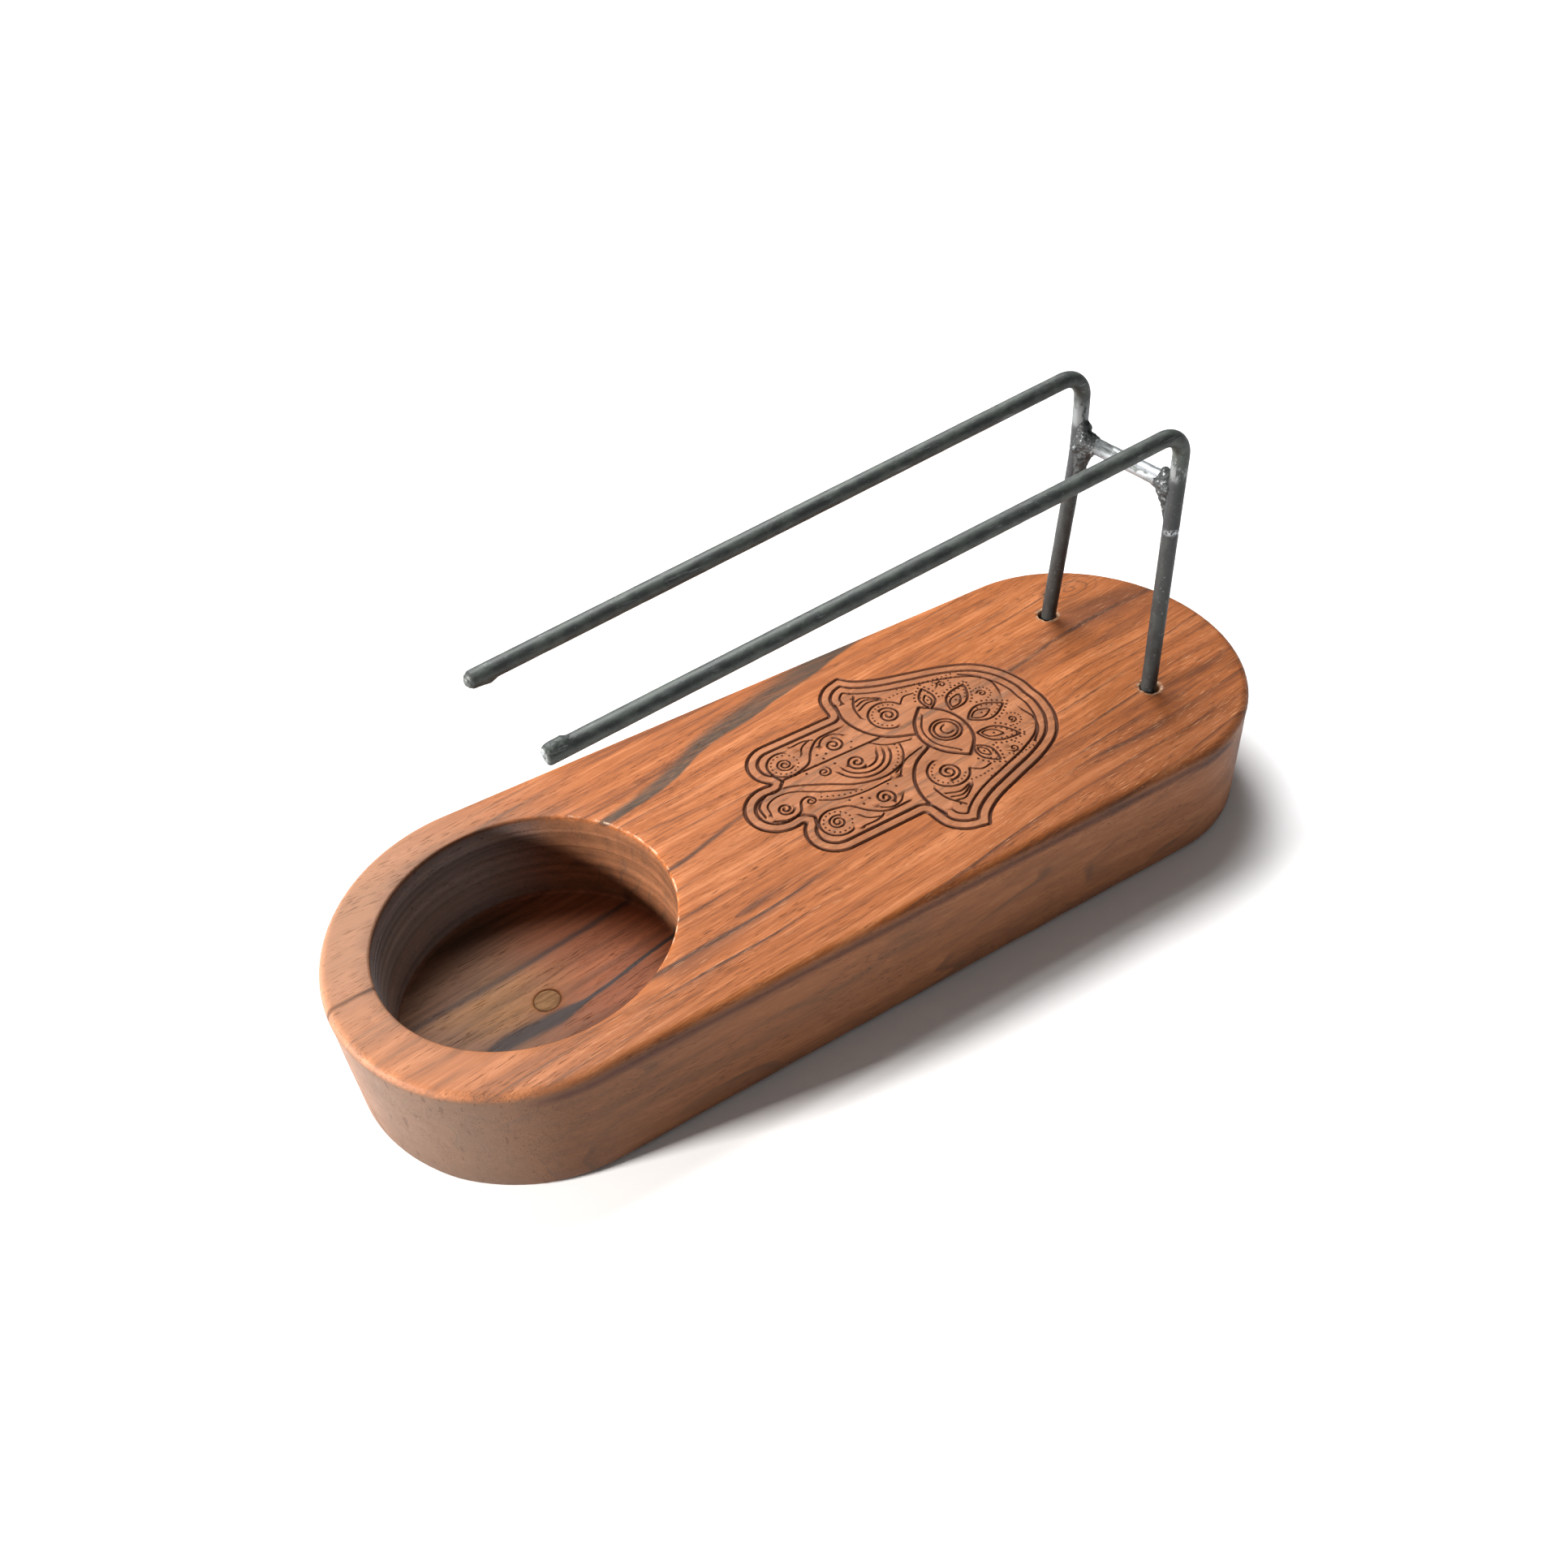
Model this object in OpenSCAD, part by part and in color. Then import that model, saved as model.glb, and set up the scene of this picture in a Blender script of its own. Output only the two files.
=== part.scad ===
// Incense burner: a wooden block with an ash pocket, and a welded wire rest that lifts out of it.
// X runs along the block from the pocket end to the wire end, Y across it, and Z up.
// The origin is the middle of the block's underside.

/* [Block] */
// Length of the block, end to end
block_length = 181; // [175:1:190]
// Width of the block
block_width = 66; // [62:1:72]
// Thickness of the block
block_height = 24; // [22:0.5:30]
// Length of the curved stretch at the pocket end
pocket_end_depth = 31; // [26:0.5:33]
// Length of the curved stretch at the wire end
wire_end_depth = 30.5; // [26:0.5:33]
// Radius of the rounded top edge
top_round = 1.7; // [0.8:0.1:2.5]
// Radius of the rounded bottom edge
bottom_round = 1; // [0.5:0.1:2]

/* [Ash pocket] */
// Diameter of the pocket
pocket_diameter = 50; // [40:1:52]
// Depth of the pocket
pocket_depth = 20; // [12:0.5:20]
// Distance from the pocket end of the block to the pocket's centre
pocket_inset = 33.2; // [31:0.1:38]
// Diameter of the wooden plug in the pocket's floor
plug_diameter = 4.8; // [3:0.1:8]
// Length of the plug
plug_length = 3; // [1:0.5:3.5]

/* [Leg holes] */
// Diameter of each leg hole
hole_diameter = 3.8; // [3.6:0.1:4.4]
// Depth of each leg hole
hole_depth = 18; // [12:0.5:19]

/* [Wire rest] */
// Diameter of the wire
wire_diameter = 3; // [2:0.1:3]
// Radius of the bends, measured to the middle of the wire
bend_radius = 4.5; // [3:0.5:8]
// Height of the near wire's corner, where its leg and arm would cross
near_corner_height = 78.5; // [70:0.5:95]
// Height of the far wire's corner
far_corner_height = 79.5; // [70:0.5:95]
// Fall of the near arm towards its tip, in degrees
near_slope = 5.8; // [0:0.1:9]
// Fall of the far arm towards its tip, in degrees
far_slope = 6.9; // [0:0.1:9]
// Length of the near arm from corner to tip, along the wire
near_arm_length = 117.2; // [60:0.5:135]
// Length of the far arm from corner to tip, along the wire
far_arm_length = 119; // [60:0.5:135]

/* [Hidden] */

// Facets of the round shapes, of the hulled lumps and of the swept wires
$fn = 64;
LUMP_FN = 20;
WIRE_SIDES = 24;
BEND_STEPS = 10;
// Steps round each curved end and over each rounded edge of the block
END_STEPS = 30;
ROUND_STEPS = 5;
// How far a cut runs past the face that it opens
PAST = 1;

wire_r = wire_diameter / 2;
pocket_x = pocket_inset - block_length / 2;
floor_z = block_height - pocket_depth;
foot_gap = 0.1;
foot_z = block_height - hole_depth + foot_gap;

// Centres of the two leg holes, and of the legs that stand a little off centre in them
near_hole = [65.75, -13];
far_hole = [64.75, 16.3];
near_leg = near_hole + [-0.2, 0.1];
far_leg = far_hole + [0.15, -0.15];

// The far leg is upright in its hole, leans inwards above the block, and is upright again
// above the cross bar
far_upper_y = 11.5;
lean_low_z = block_height - 0.5;
lean_high_z = 63.5;
far_foot = [far_leg.x, far_leg.y, foot_z];
far_knee = [far_leg.x, far_leg.y, lean_low_z];
far_shoulder = [far_leg.x, far_upper_y, lean_high_z];

// The cross bar's ends, sunk into the two legs by bar_bite
bar_bite = 0.2;
bar_near_end = [near_leg.x, near_leg.y + wire_r - bar_bite, 67.5];
bar_far_end = [far_leg.x, far_upper_y - wire_r + bar_bite, 66.5];

wood = [0.72, 0.42, 0.24];
pale_wood = [0.80, 0.64, 0.44];
dark_steel = [0.16, 0.17, 0.17];
weld_grey = [0.34, 0.35, 0.36];

// Half an ellipse, from -Y round to +Y, bulging towards +X
function half_ellipse(depth, half_width) = [
    for (i = [0:END_STEPS])
        let (a = -90 + 180 * i / END_STEPS)
        [depth * cos(a), half_width * sin(a)]
];

// Plan outline of the block, drawn in from its full size by inset, at height z
function block_ring(inset, z) =
    let (
        half_width = block_width / 2 - inset,
        wire_end_x = block_length / 2 - wire_end_depth,
        pocket_end_x = block_length / 2 - pocket_end_depth,
        wire_end = half_ellipse(wire_end_depth - inset, half_width),
        pocket_end = half_ellipse(pocket_end_depth - inset, half_width)
    )
    concat(
        [for (p = wire_end) [wire_end_x + p.x, p.y, z]],
        [for (p = pocket_end) [-pocket_end_x - p.x, -p.y, z]]
    );

// Triangles between ring number k and the next, in a stack of rings of n points each
function band(k, n) = [
    for (i = [0:n - 1])
        let (low = k * n, j = (i + 1) % n)
        each [[low + i, low + n + i, low + j], [low + j, low + n + i, low + n + j]]
];

// A closed solid over a stack of rings, each a list of points that runs anticlockwise
// when it is seen from the end of the stack
module ring_stack(rings) {
    n = len(rings[0]);
    last = (len(rings) - 1) * n;
    polyhedron(
        points = [for (ring = rings) each ring],
        faces = concat(
            [[for (i = [0:n - 1]) i]],
            [for (k = [0:len(rings) - 2]) each band(k, n)],
            [[for (i = [n - 1:-1:0]) last + i]]
        )
    );
}

// The block before it is bored, with its rounded bottom and top edges
module block_blank() {
    bottom = [
        for (i = [0:ROUND_STEPS])
            let (a = 90 * i / ROUND_STEPS)
            block_ring(bottom_round * (1 - sin(a)), bottom_round * (1 - cos(a)))
    ];
    top = [
        for (i = [0:ROUND_STEPS])
            let (a = 90 * i / ROUND_STEPS)
            block_ring(top_round * (1 - cos(a)), block_height - top_round * (1 - sin(a)))
    ];
    ring_stack(concat(bottom, top));
}

module leg_hole(at) {
    translate([at.x, at.y, block_height - hole_depth])
        cylinder(h = hole_depth + PAST, d = hole_diameter);
}

module base_block() {
    color(wood)
        difference() {
            block_blank();
            translate([pocket_x, 0, floor_z])
                cylinder(h = pocket_depth + PAST, d = pocket_diameter, $fn = 128);
            translate([pocket_x, 0, floor_z - plug_length])
                cylinder(h = plug_length + PAST, d = plug_diameter);
            leg_hole(near_hole);
            leg_hole(far_hole);
        }
}

module floor_plug() {
    color(pale_wood)
        translate([pocket_x, 0, floor_z - plug_length])
            cylinder(h = plug_length, d = plug_diameter);
}

// A straight length of wire between two points
module wire_between(a, b) {
    step = b - a;
    translate(a)
        rotate([0, acos(step.z / norm(step)), atan2(step.y, step.x)])
            cylinder(h = norm(step), r = wire_r);
}

function unit(v) = v / norm(v);

// Direction of a path at point i: half-way between the stretches that meet there
function heading(path, i) =
    let (
        before = i == 0 ? path[1] - path[0] : path[i] - path[i - 1],
        after = i == len(path) - 1 ? before : path[i + 1] - path[i]
    )
    unit(unit(before) + unit(after));

// A round wire swept along a path that never runs along Y
module swept_wire(path) {
    ring_stack([
        for (i = [0:len(path) - 1])
            let (
                ahead = heading(path, i),
                side = unit(cross([0, 1, 0], ahead)),
                up = cross(ahead, side)
            )
            [
                for (k = [0:WIRE_SIDES - 1])
                    let (a = 360 * k / WIRE_SIDES)
                    path[i] + wire_r * (cos(a) * side + sin(a) * up)
            ]
    ]);
}

// Middle line of a bend at the top of a leg, and of the arm that runs on towards -X and
// falls by slope. The arm's length is measured from the corner where leg and arm would cross.
function bend_and_arm(corner, arm_length, slope) =
    let (
        turn = 90 + slope,
        tangent = bend_radius * tan(turn / 2),
        centre = corner - [bend_radius, 0, tangent]
    )
    concat(
        [
            for (i = [0:BEND_STEPS])
                let (a = turn * i / BEND_STEPS)
                centre + bend_radius * [cos(a), 0, sin(a)]
        ],
        [corner - arm_length * [cos(slope), 0, sin(slope)]]
    );

module near_wire() {
    foot = [near_leg.x, near_leg.y, foot_z];
    corner = [near_leg.x, near_leg.y, near_corner_height];
    swept_wire(concat([foot], bend_and_arm(corner, near_arm_length, near_slope)));
}

module far_wire() {
    corner = [far_leg.x, far_upper_y, far_corner_height];
    swept_wire(concat(
        [far_foot, far_knee, far_shoulder],
        bend_and_arm(corner, far_arm_length, far_slope)
    ));
}

module near_rod() {
    color(dark_steel)
        near_wire();
}

module far_rod() {
    color(dark_steel)
        far_wire();
}

// The bar is cut square and its ends are sunk a little into the legs by the weld
module cross_bar() {
    color(weld_grey)
        wire_between(bar_near_end, bar_far_end);
}

// A smooth lump over a few balls, each given as [y, z, radius] in the upright plane at x
module lump(x, balls) {
    hull()
        for (b = balls)
            translate([x, b[0], b[1]])
                sphere(r = b[2], $fn = LUMP_FN);
}

module near_weld_bead() {
    foot = [-11.9, 61.2, 1];
    corner = [-11, 64.8, 1.7];
    collar = [-10.4, 67.3, 2.1];
    bar_end = [-8.4, 67.1, 1.6];
    top_bump = [-10.2, 69.2, 0.9];
    color(weld_grey)
        difference() {
            union() {
                lump(near_leg.x, [foot, corner]);
                lump(near_leg.x, [corner, collar, bar_end]);
                lump(near_leg.x, [collar, top_bump]);
            }
            near_wire();
            wire_between(bar_near_end, bar_far_end);
        }
}

module far_weld_bead() {
    foot = [10.9, 59.5, 1.3];
    web = [9.6, 63.4, 1.8];
    collar = [9.2, 66.5, 2.2];
    bar_end = [6.6, 66.6, 1.6];
    crown = [10.3, 69.3, 1.4];
    color(weld_grey)
        difference() {
            union() {
                lump(far_leg.x, [foot, web]);
                lump(far_leg.x, [web, collar, bar_end]);
                lump(far_leg.x, [collar, crown]);
            }
            far_wire();
            wire_between(bar_near_end, bar_far_end);
        }
}

// Places its children on an arm's centre line, with +Z along the arm to its tip and +X up
module on_arm(leg, corner_height, slope, along) {
    translate([leg.x, leg.y, corner_height])
        rotate([0, -90 - slope, 0])
            translate([0, 0, along])
                children();
}

// A drop of metal that stands proud of one side of the wire, with the wire's own shape taken out
module tip_drop(side, drop_length, stand) {
    drop_r = wire_r * 0.8;
    offset_x = side * (wire_r + stand - drop_r);
    difference() {
        hull()
            for (z = [drop_r, drop_length - drop_r])
                translate([offset_x, 0, -z])
                    sphere(r = drop_r, $fn = LUMP_FN);
        translate([0, 0, -drop_length - PAST])
            cylinder(h = drop_length + 2 * PAST, r = wire_r);
    }
}

module near_tip_bead() {
    color(dark_steel)
        on_arm(near_leg, near_corner_height, near_slope, near_arm_length)
            tip_drop(1, 3.4, 0.6);
}

module far_tip_bead() {
    color(dark_steel)
        on_arm([far_leg.x, far_upper_y], far_corner_height, far_slope, far_arm_length)
            tip_drop(-1, 4.4, 0.5);
}

base_block();
floor_plug();
near_rod();
far_rod();
cross_bar();
near_weld_bead();
far_weld_bead();
near_tip_bead();
far_tip_bead();
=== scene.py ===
"""Incense burner: carved hardwood block with an ash pocket, and a welded wire rest above it.

Everything is in metres in the CAD frame: X along the block from the pocket to the wires,
Y across it, Z up, origin at the middle of the underside. Shapes are laid out in millimetres
and scaled by MM when they are built.
"""
import math

import bmesh
import bpy
import numpy as np
from mathutils import Matrix, Vector, noise
from mathutils.geometry import delaunay_2d_cdt
from mathutils.kdtree import KDTree


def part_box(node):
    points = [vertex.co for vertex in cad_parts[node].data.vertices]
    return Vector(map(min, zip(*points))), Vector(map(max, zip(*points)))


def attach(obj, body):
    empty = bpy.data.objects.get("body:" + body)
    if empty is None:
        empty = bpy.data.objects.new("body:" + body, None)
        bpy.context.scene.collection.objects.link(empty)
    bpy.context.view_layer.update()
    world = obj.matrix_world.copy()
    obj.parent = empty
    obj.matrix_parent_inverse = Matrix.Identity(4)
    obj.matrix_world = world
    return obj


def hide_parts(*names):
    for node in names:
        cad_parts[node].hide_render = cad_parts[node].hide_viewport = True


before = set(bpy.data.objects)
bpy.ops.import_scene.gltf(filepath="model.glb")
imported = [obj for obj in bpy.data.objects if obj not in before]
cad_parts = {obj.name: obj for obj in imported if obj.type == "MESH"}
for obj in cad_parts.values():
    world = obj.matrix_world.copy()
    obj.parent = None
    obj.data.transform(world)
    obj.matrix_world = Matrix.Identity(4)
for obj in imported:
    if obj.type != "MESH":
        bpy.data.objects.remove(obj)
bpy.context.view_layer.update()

MM = 0.001
TAU = 2 * math.pi


# ---------------------------------------------------------------- sizes from the frame

def box_mm(node):
    """Lowest and highest corner of a CAD node, in millimetres."""
    low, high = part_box(node)
    return np.array(low) / MM, np.array(high) / MM


_, block_high = box_mm("base_block")
BLOCK_TOP = block_high[2]
HALF_LENGTH = block_high[0]
HALF_WIDTH = block_high[1]

plug_low, plug_high = box_mm("floor_plug")
POCKET_X = (plug_low[0] + plug_high[0]) / 2
POCKET_FLOOR = plug_high[2]
PLUG_RADIUS = (plug_high[0] - plug_low[0]) / 2
PLUG_BOTTOM = plug_low[2]

# The pocket's radius, the plan of the rounded ends and the leg holes repeat the CAD model's
POCKET_RADIUS = 25.0
RIM_RADIUS = POCKET_RADIUS + 0.35
POCKET_END_DEPTH = 31.0
WIRE_END_DEPTH = 30.5
TOP_ROUND = 1.7
BOTTOM_ROUND = 1.0
HOLE_RADIUS = 1.9
HOLE_DEPTH = 18.0
NEAR_HOLE = (65.75, -13.0)
FAR_HOLE = (64.75, 16.3)


# ---------------------------------------------------------------- camera

CAMERA_AZIMUTH = math.radians(-29.807)
CAMERA_ELEVATION = math.radians(41.529)
CAMERA_ROLL = math.radians(-3.699)
CAMERA_DISTANCE = 0.28837
CAMERA_TARGET = Vector((0.0190, 0.03186, 0.0))
CAMERA_LENS = 31.44
CAMERA_SHIFT = (-0.02467, -0.0232)


def new_object(name, data):
    obj = bpy.data.objects.new(name, data)
    bpy.context.scene.collection.objects.link(obj)
    return obj


def make_camera():
    data = bpy.data.cameras.new("camera")
    data.sensor_width = 36.0
    data.lens = CAMERA_LENS
    data.shift_x, data.shift_y = CAMERA_SHIFT
    data.clip_start = 0.01
    data.clip_end = 20.0
    camera = new_object("camera", data)
    back = Vector((
        math.sin(CAMERA_AZIMUTH) * math.cos(CAMERA_ELEVATION),
        -math.cos(CAMERA_AZIMUTH) * math.cos(CAMERA_ELEVATION),
        math.sin(CAMERA_ELEVATION),
    ))
    level_right = (-back).cross(Vector((0, 0, 1))).normalized()
    level_up = level_right.cross(-back)
    c, s = math.cos(CAMERA_ROLL), math.sin(CAMERA_ROLL)
    right = c * level_right + s * level_up
    up = c * level_up - s * level_right
    turn = Matrix((right, up, back)).transposed().to_4x4()
    camera.matrix_world = Matrix.Translation(CAMERA_TARGET + back * CAMERA_DISTANCE) @ turn
    bpy.context.scene.camera = camera


make_camera()


# ---------------------------------------------------------------- building meshes

def mesh_object(name, verts_mm, faces):
    """A new smooth object from points in millimetres and faces that index them."""
    mesh = bpy.data.meshes.new(name)
    mesh.from_pydata([tuple(float(c) * MM for c in v) for v in verts_mm], [], faces)
    mesh.update()
    bm = bmesh.new()
    bm.from_mesh(mesh)
    bmesh.ops.recalc_face_normals(bm, faces=bm.faces)
    bm.to_mesh(mesh)
    bm.free()
    mesh.polygons.foreach_set("use_smooth", [True] * len(mesh.polygons))
    return new_object(name, mesh)


def bridge(ring_a, ring_b):
    """Quads between two closed rings of vertex numbers of the same length."""
    n = len(ring_a)
    return [(ring_a[i], ring_a[(i + 1) % n], ring_b[(i + 1) % n], ring_b[i]) for i in range(n)]


def stacked_rings(rings):
    """Faces of a closed body whose rings of vertex numbers lie one above the other."""
    faces = [tuple(reversed(rings[0])), tuple(rings[-1])]
    for lower, upper in zip(rings, rings[1:]):
        faces += bridge(lower, upper)
    return faces


def smoothstep(low, high, t):
    s = np.clip((t - low) / (high - low), 0, 1)
    return s * s * (3 - 2 * s)


def polar(cx, cy, radius, angles):
    """Plan points at a radius, or at one radius each, round a centre; angles are in radians."""
    return np.stack([cx + radius * np.cos(angles), cy + radius * np.sin(angles)], 1)


def circle_ring(cx, cy, radius, count):
    return polar(cx, cy, radius, np.arange(count) * TAU / count)


def sideways(ahead):
    """Unit plan vectors square to the directions in ahead, on their left."""
    normal = np.stack([-ahead[:, 1], ahead[:, 0]], 1)
    return normal / np.maximum(np.linalg.norm(normal, axis=1), 1e-9)[:, None]


def plan_tree(points):
    """A search tree over the first two coordinates of each point."""
    tree = KDTree(len(points))
    for i, point in enumerate(points):
        tree.insert((point[0], point[1], 0), i)
    tree.balance()
    return tree


# ---------------------------------------------------------------- strokes of the ornament

# The hand lies along X with its fingers towards the pocket; its middle line is at HAND_Y.
HAND_Y = -0.6
STEP = 0.28
BOLD = 0.33
FINE = 0.24
HAIR = 0.19
GROOVE_DEPTH = 0.75

strokes = []
dots = []


def resample(points, step=STEP, closed=False):
    """Points at an even spacing along a polyline."""
    p = np.asarray(points, float)
    if closed:
        p = np.vstack([p, p[:1]])
    along = np.concatenate([[0], np.cumsum(np.linalg.norm(np.diff(p, axis=0), axis=1))])
    count = max(2, int(round(along[-1] / step)) + 1)
    t = np.linspace(0, along[-1], count)
    out = np.stack([np.interp(t, along, p[:, k]) for k in (0, 1)], 1)
    return out[:-1] if closed else out


def smooth_curve(points, steps=14):
    """A Catmull-Rom curve through a few points."""
    p = np.asarray(points, float)
    p = np.vstack([2 * p[0] - p[1], p, 2 * p[-1] - p[-2]])
    out = []
    for a, b, c, d in zip(p[:-3], p[1:-2], p[2:-1], p[3:]):
        for t in np.linspace(0, 1, steps, endpoint=False):
            out.append(0.5 * (2 * b + (c - a) * t + (2 * a - 5 * b + 4 * c - d) * t ** 2
                              + (3 * b - a - 3 * c + d) * t ** 3))
    out.append(p[-2])
    return np.array(out)


def arc(cx, cy, radius, start, end):
    return polar(cx, cy, radius, np.radians(np.linspace(start, end, 48)))


def spiral(cx, cy, inner, outer, start, turns):
    t = np.linspace(0, 1, 90)
    return polar(cx, cy, inner + (outer - inner) * t, math.radians(start) + TAU * turns * t)


def leaf(base, angle, length, width):
    """A closed petal that starts at base and points along angle, in degrees."""
    t = np.linspace(0, 1, 40)
    half = width / 2 * np.sin(math.pi * t ** 0.85)
    up = np.stack([t * length, half], 1)
    down = np.stack([t[::-1] * length, -half[::-1]], 1)
    c, s = math.cos(math.radians(angle)), math.sin(math.radians(angle))
    return np.vstack([up, down]) @ np.array([[c, s], [-s, c]]) + np.asarray(base)


def cut(points, half_width=FINE, closed=False, mirror=False):
    """Adds a groove, and its mirror image across the hand's middle line."""
    p = resample(points, closed=closed)
    strokes.append((p, half_width, closed))
    if mirror:
        strokes.append((p * [1, -1] + [0, 2 * HAND_Y], half_width, closed))


def bend(half_width, points, mirror=False):
    """Adds a groove along a smooth curve through a few points."""
    cut(smooth_curve(points), half_width, mirror=mirror)


def prick(points, radius=0.21, mirror=False):
    """Adds round dots, and their mirror images."""
    for x, y in np.atleast_2d(points):
        dots.append((x, y, radius))
        if mirror:
            dots.append((x, 2 * HAND_Y - y, radius))


def prick_along(path, spacing, radius=0.19, mirror=False):
    prick(resample(path, spacing), radius, mirror)


def inset(points, distance):
    """A closed outline moved inwards, without the stretches that would cross it."""
    p = resample(points, 0.2, closed=True)
    ahead = np.roll(p, -1, 0) - np.roll(p, 1, 0)
    moved = p + sideways(ahead) * distance
    gap = np.linalg.norm(moved[:, None] - p[None], axis=2).min(1)
    return moved[gap > distance - 0.05]


def hand_outline():
    """Closed outline of the hand, anticlockwise: wrist, thumb, three fingers, thumb."""
    wrist_and_thumb = smooth_curve([
        (47.5, 0.0), (47.5, 3.4), (46.0, 8.4), (42.6, 12.8), (37.0, 15.8), (30.5, 17.9),
        (24.4, 19.9), (20.6, 22.0), (18.6, 24.4),
    ])
    curl = smooth_curve([(18.6, 24.4), (14.8, 23.2), (12.2, 20.4), (11.4, 15.9)])
    side_finger = arc(-3.7, 10.2, 5.4, 90, 232)
    half_middle = arc(-9.4, 0.0, 5.9, 74, 180)
    upper = np.vstack([wrist_and_thumb, curl, [[11.0, 15.6]], side_finger, half_middle])
    lower = (upper * [1, -1])[::-1]
    return np.vstack([upper, lower[1:-1]]) + [0, HAND_Y]


def side_finger_ornament():
    tip = (-2.6, 8.4)
    cut(spiral(*tip, 0.35, 1.7, 20, 1.8), HAIR, mirror=True)
    prick_along(arc(*tip, 2.55, 70, 400), 1.0, mirror=True)
    cut(np.vstack([
        arc(*tip, 3.3, 65, 285),
        smooth_curve([(-1.6, 5.2), (1.2, 6.2), (3.4, 9.0), (6.2, 11.0), (10.6, 11.2)]),
    ]), FINE, mirror=True)
    bend(HAIR, [(0.8, 11.8), (3.4, 11.9), (5.2, 11.2)], mirror=True)
    bend(HAIR, [(1.3, 8.9), (2.4, 10.6), (4.6, 11.6)], mirror=True)
    cut(spiral(7.6, 7.9, 0.3, 1.9, 200, 1.6), FINE, mirror=True)
    cut(arc(7.9, 7.8, 2.9, 30, 150), HAIR, mirror=True)
    prick([(3.6, 7.2), (4.1, 5.7), (5.2, 6.6)], 0.26, mirror=True)
    prick([(2.0, 5.0), (9.9, 5.4), (10.8, 6.7)], mirror=True)


def middle_finger_ornament():
    cut(np.array([(-5.2, 5.0), (15.6, 4.6)]), FINE)
    bend(FINE, [(-12.4, -1.4), (-12.0, 1.4), (-9.2, 3.3), (-4.8, 2.8), (0.6, -0.2), (5.4, -3.4),
                (10.6, -4.7), (15.4, -3.6)])
    bend(HAIR, [(-11.2, -1.2), (-10.6, 0.9), (-8.2, 1.9), (-5.0, 1.3), (-0.6, -1.7), (4.6, -4.6)])
    cut(spiral(-8.4, -1.6, 0.3, 1.6, 120, 1.6), FINE)
    bend(FINE, [(-11.6, -3.2), (-9.2, -4.3), (-6.6, -3.8), (-5.2, -1.6), (-3.6, -1.2), (-2.8, -2.3)])
    cut(spiral(-3.7, -2.4, 0.25, 1.1, 10, 1.2), HAIR)
    bend(HAIR, [(-2.2, -3.2), (0.6, -4.9), (5.0, -5.9), (11.0, -5.9)])
    prick_along(smooth_curve([(-1.6, -2.6), (1.6, -4.3), (5.2, -5.2)]), 1.05)
    cut(spiral(8.6, 1.5, 0.3, 2.0, 80, 1.6), FINE)
    for radius in (3.2, 4.5, 5.7):
        cut(arc(9.8, 2.4, radius, 195, 345), FINE)
    cut(spiral(2.3, 2.6, 0.25, 1.3, 250, 1.4), HAIR)
    prick([(5.1, 3.4), (4.6, 0.2), (-0.6, 4.0)], 0.26)
    prick_along(arc(9.8, 2.4, 7.1, 296, 352), 1.0)
    cut(arc(9.8, 2.4, 8.0, 292, 350), HAIR)


def eye_ornament():
    cx, cy = 27.0, HAND_Y
    for radius in (2.25, 3.0):
        cut(arc(cx, cy, radius, 0, 360), FINE, closed=True)
    for side, reach in ((1, 4.2), (-1, 5.4)):
        bend(BOLD, [(cx - 0.4, cy + 8.2), (cx + side * reach * 0.72, cy + 4.6), (cx + side * reach, cy),
                (cx + side * reach * 0.72, cy - 4.6), (cx - 0.4, cy - 8.2)])
    bend(HAIR, [(cx - 1.2, cy + 5.9), (cx - 3.5, cy + 2.8), (cx - 4.1, cy), (cx - 3.5, cy - 2.8),
                (cx - 1.2, cy - 5.9)])
    cut(arc(cx + 0.3, cy, 1.2, 90, 300), HAIR)


def lotus_ornament():
    petals = ((0, 8.2, 4.4), (36, 8.0, 3.9), (-36, 8.0, 3.9), (73, 6.0, 3.0), (-73, 6.0, 3.0))
    for angle, length, width in petals:
        a = math.radians(angle)
        away = np.array([math.cos(a), math.sin(a)])
        start = np.array([27.0 + 5.2 * math.cos(a), HAND_Y + 7.0 * math.sin(a)])
        cut(leaf(start, angle, length, width), FINE, closed=True)
        cut(leaf(start + 0.8 * away, angle, length * 0.52, width * 0.5), HAIR, closed=True)
        prick([start + 0.38 * length * away], 0.24)
        tip = leaf(start + 0.8 * away, angle, length * 0.8, width * 0.74)
        prick(resample(tip, 1.0, closed=True)[3:-3], 0.19)
        halo = leaf(start - 0.5 * away, angle, length + 1.5, width + 1.7)
        halo = resample(halo, 1.0, closed=True)
        beyond = (halo - start) @ away > 0.42 * length
        prick(halo[beyond], 0.24)
    for angle in (18, 55):
        a = math.radians(angle)
        between = (27.0 + 12.4 * math.cos(a), 13.0 * math.sin(a))
        cut(spiral(*between, 0.2, 0.95, 40 + angle, 1.2), HAIR, mirror=True)
        prick_along(arc(*between, 1.75, angle - 100, angle + 100), 0.8, mirror=True)
    bend(FINE, [(38.6, 11.2), (41.2, 8.8), (42.4, 5.8), (42.0, 3.0)], mirror=True)
    prick_along(smooth_curve([(33.4, 11.6), (36.0, 11.7), (37.8, 10.9)]), 0.95, mirror=True)
    prick_along(smooth_curve([(26.2, 14.3), (29.6, 13.8), (33.2, 12.8), (37.4, 12.2)]), 0.95, mirror=True)


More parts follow.
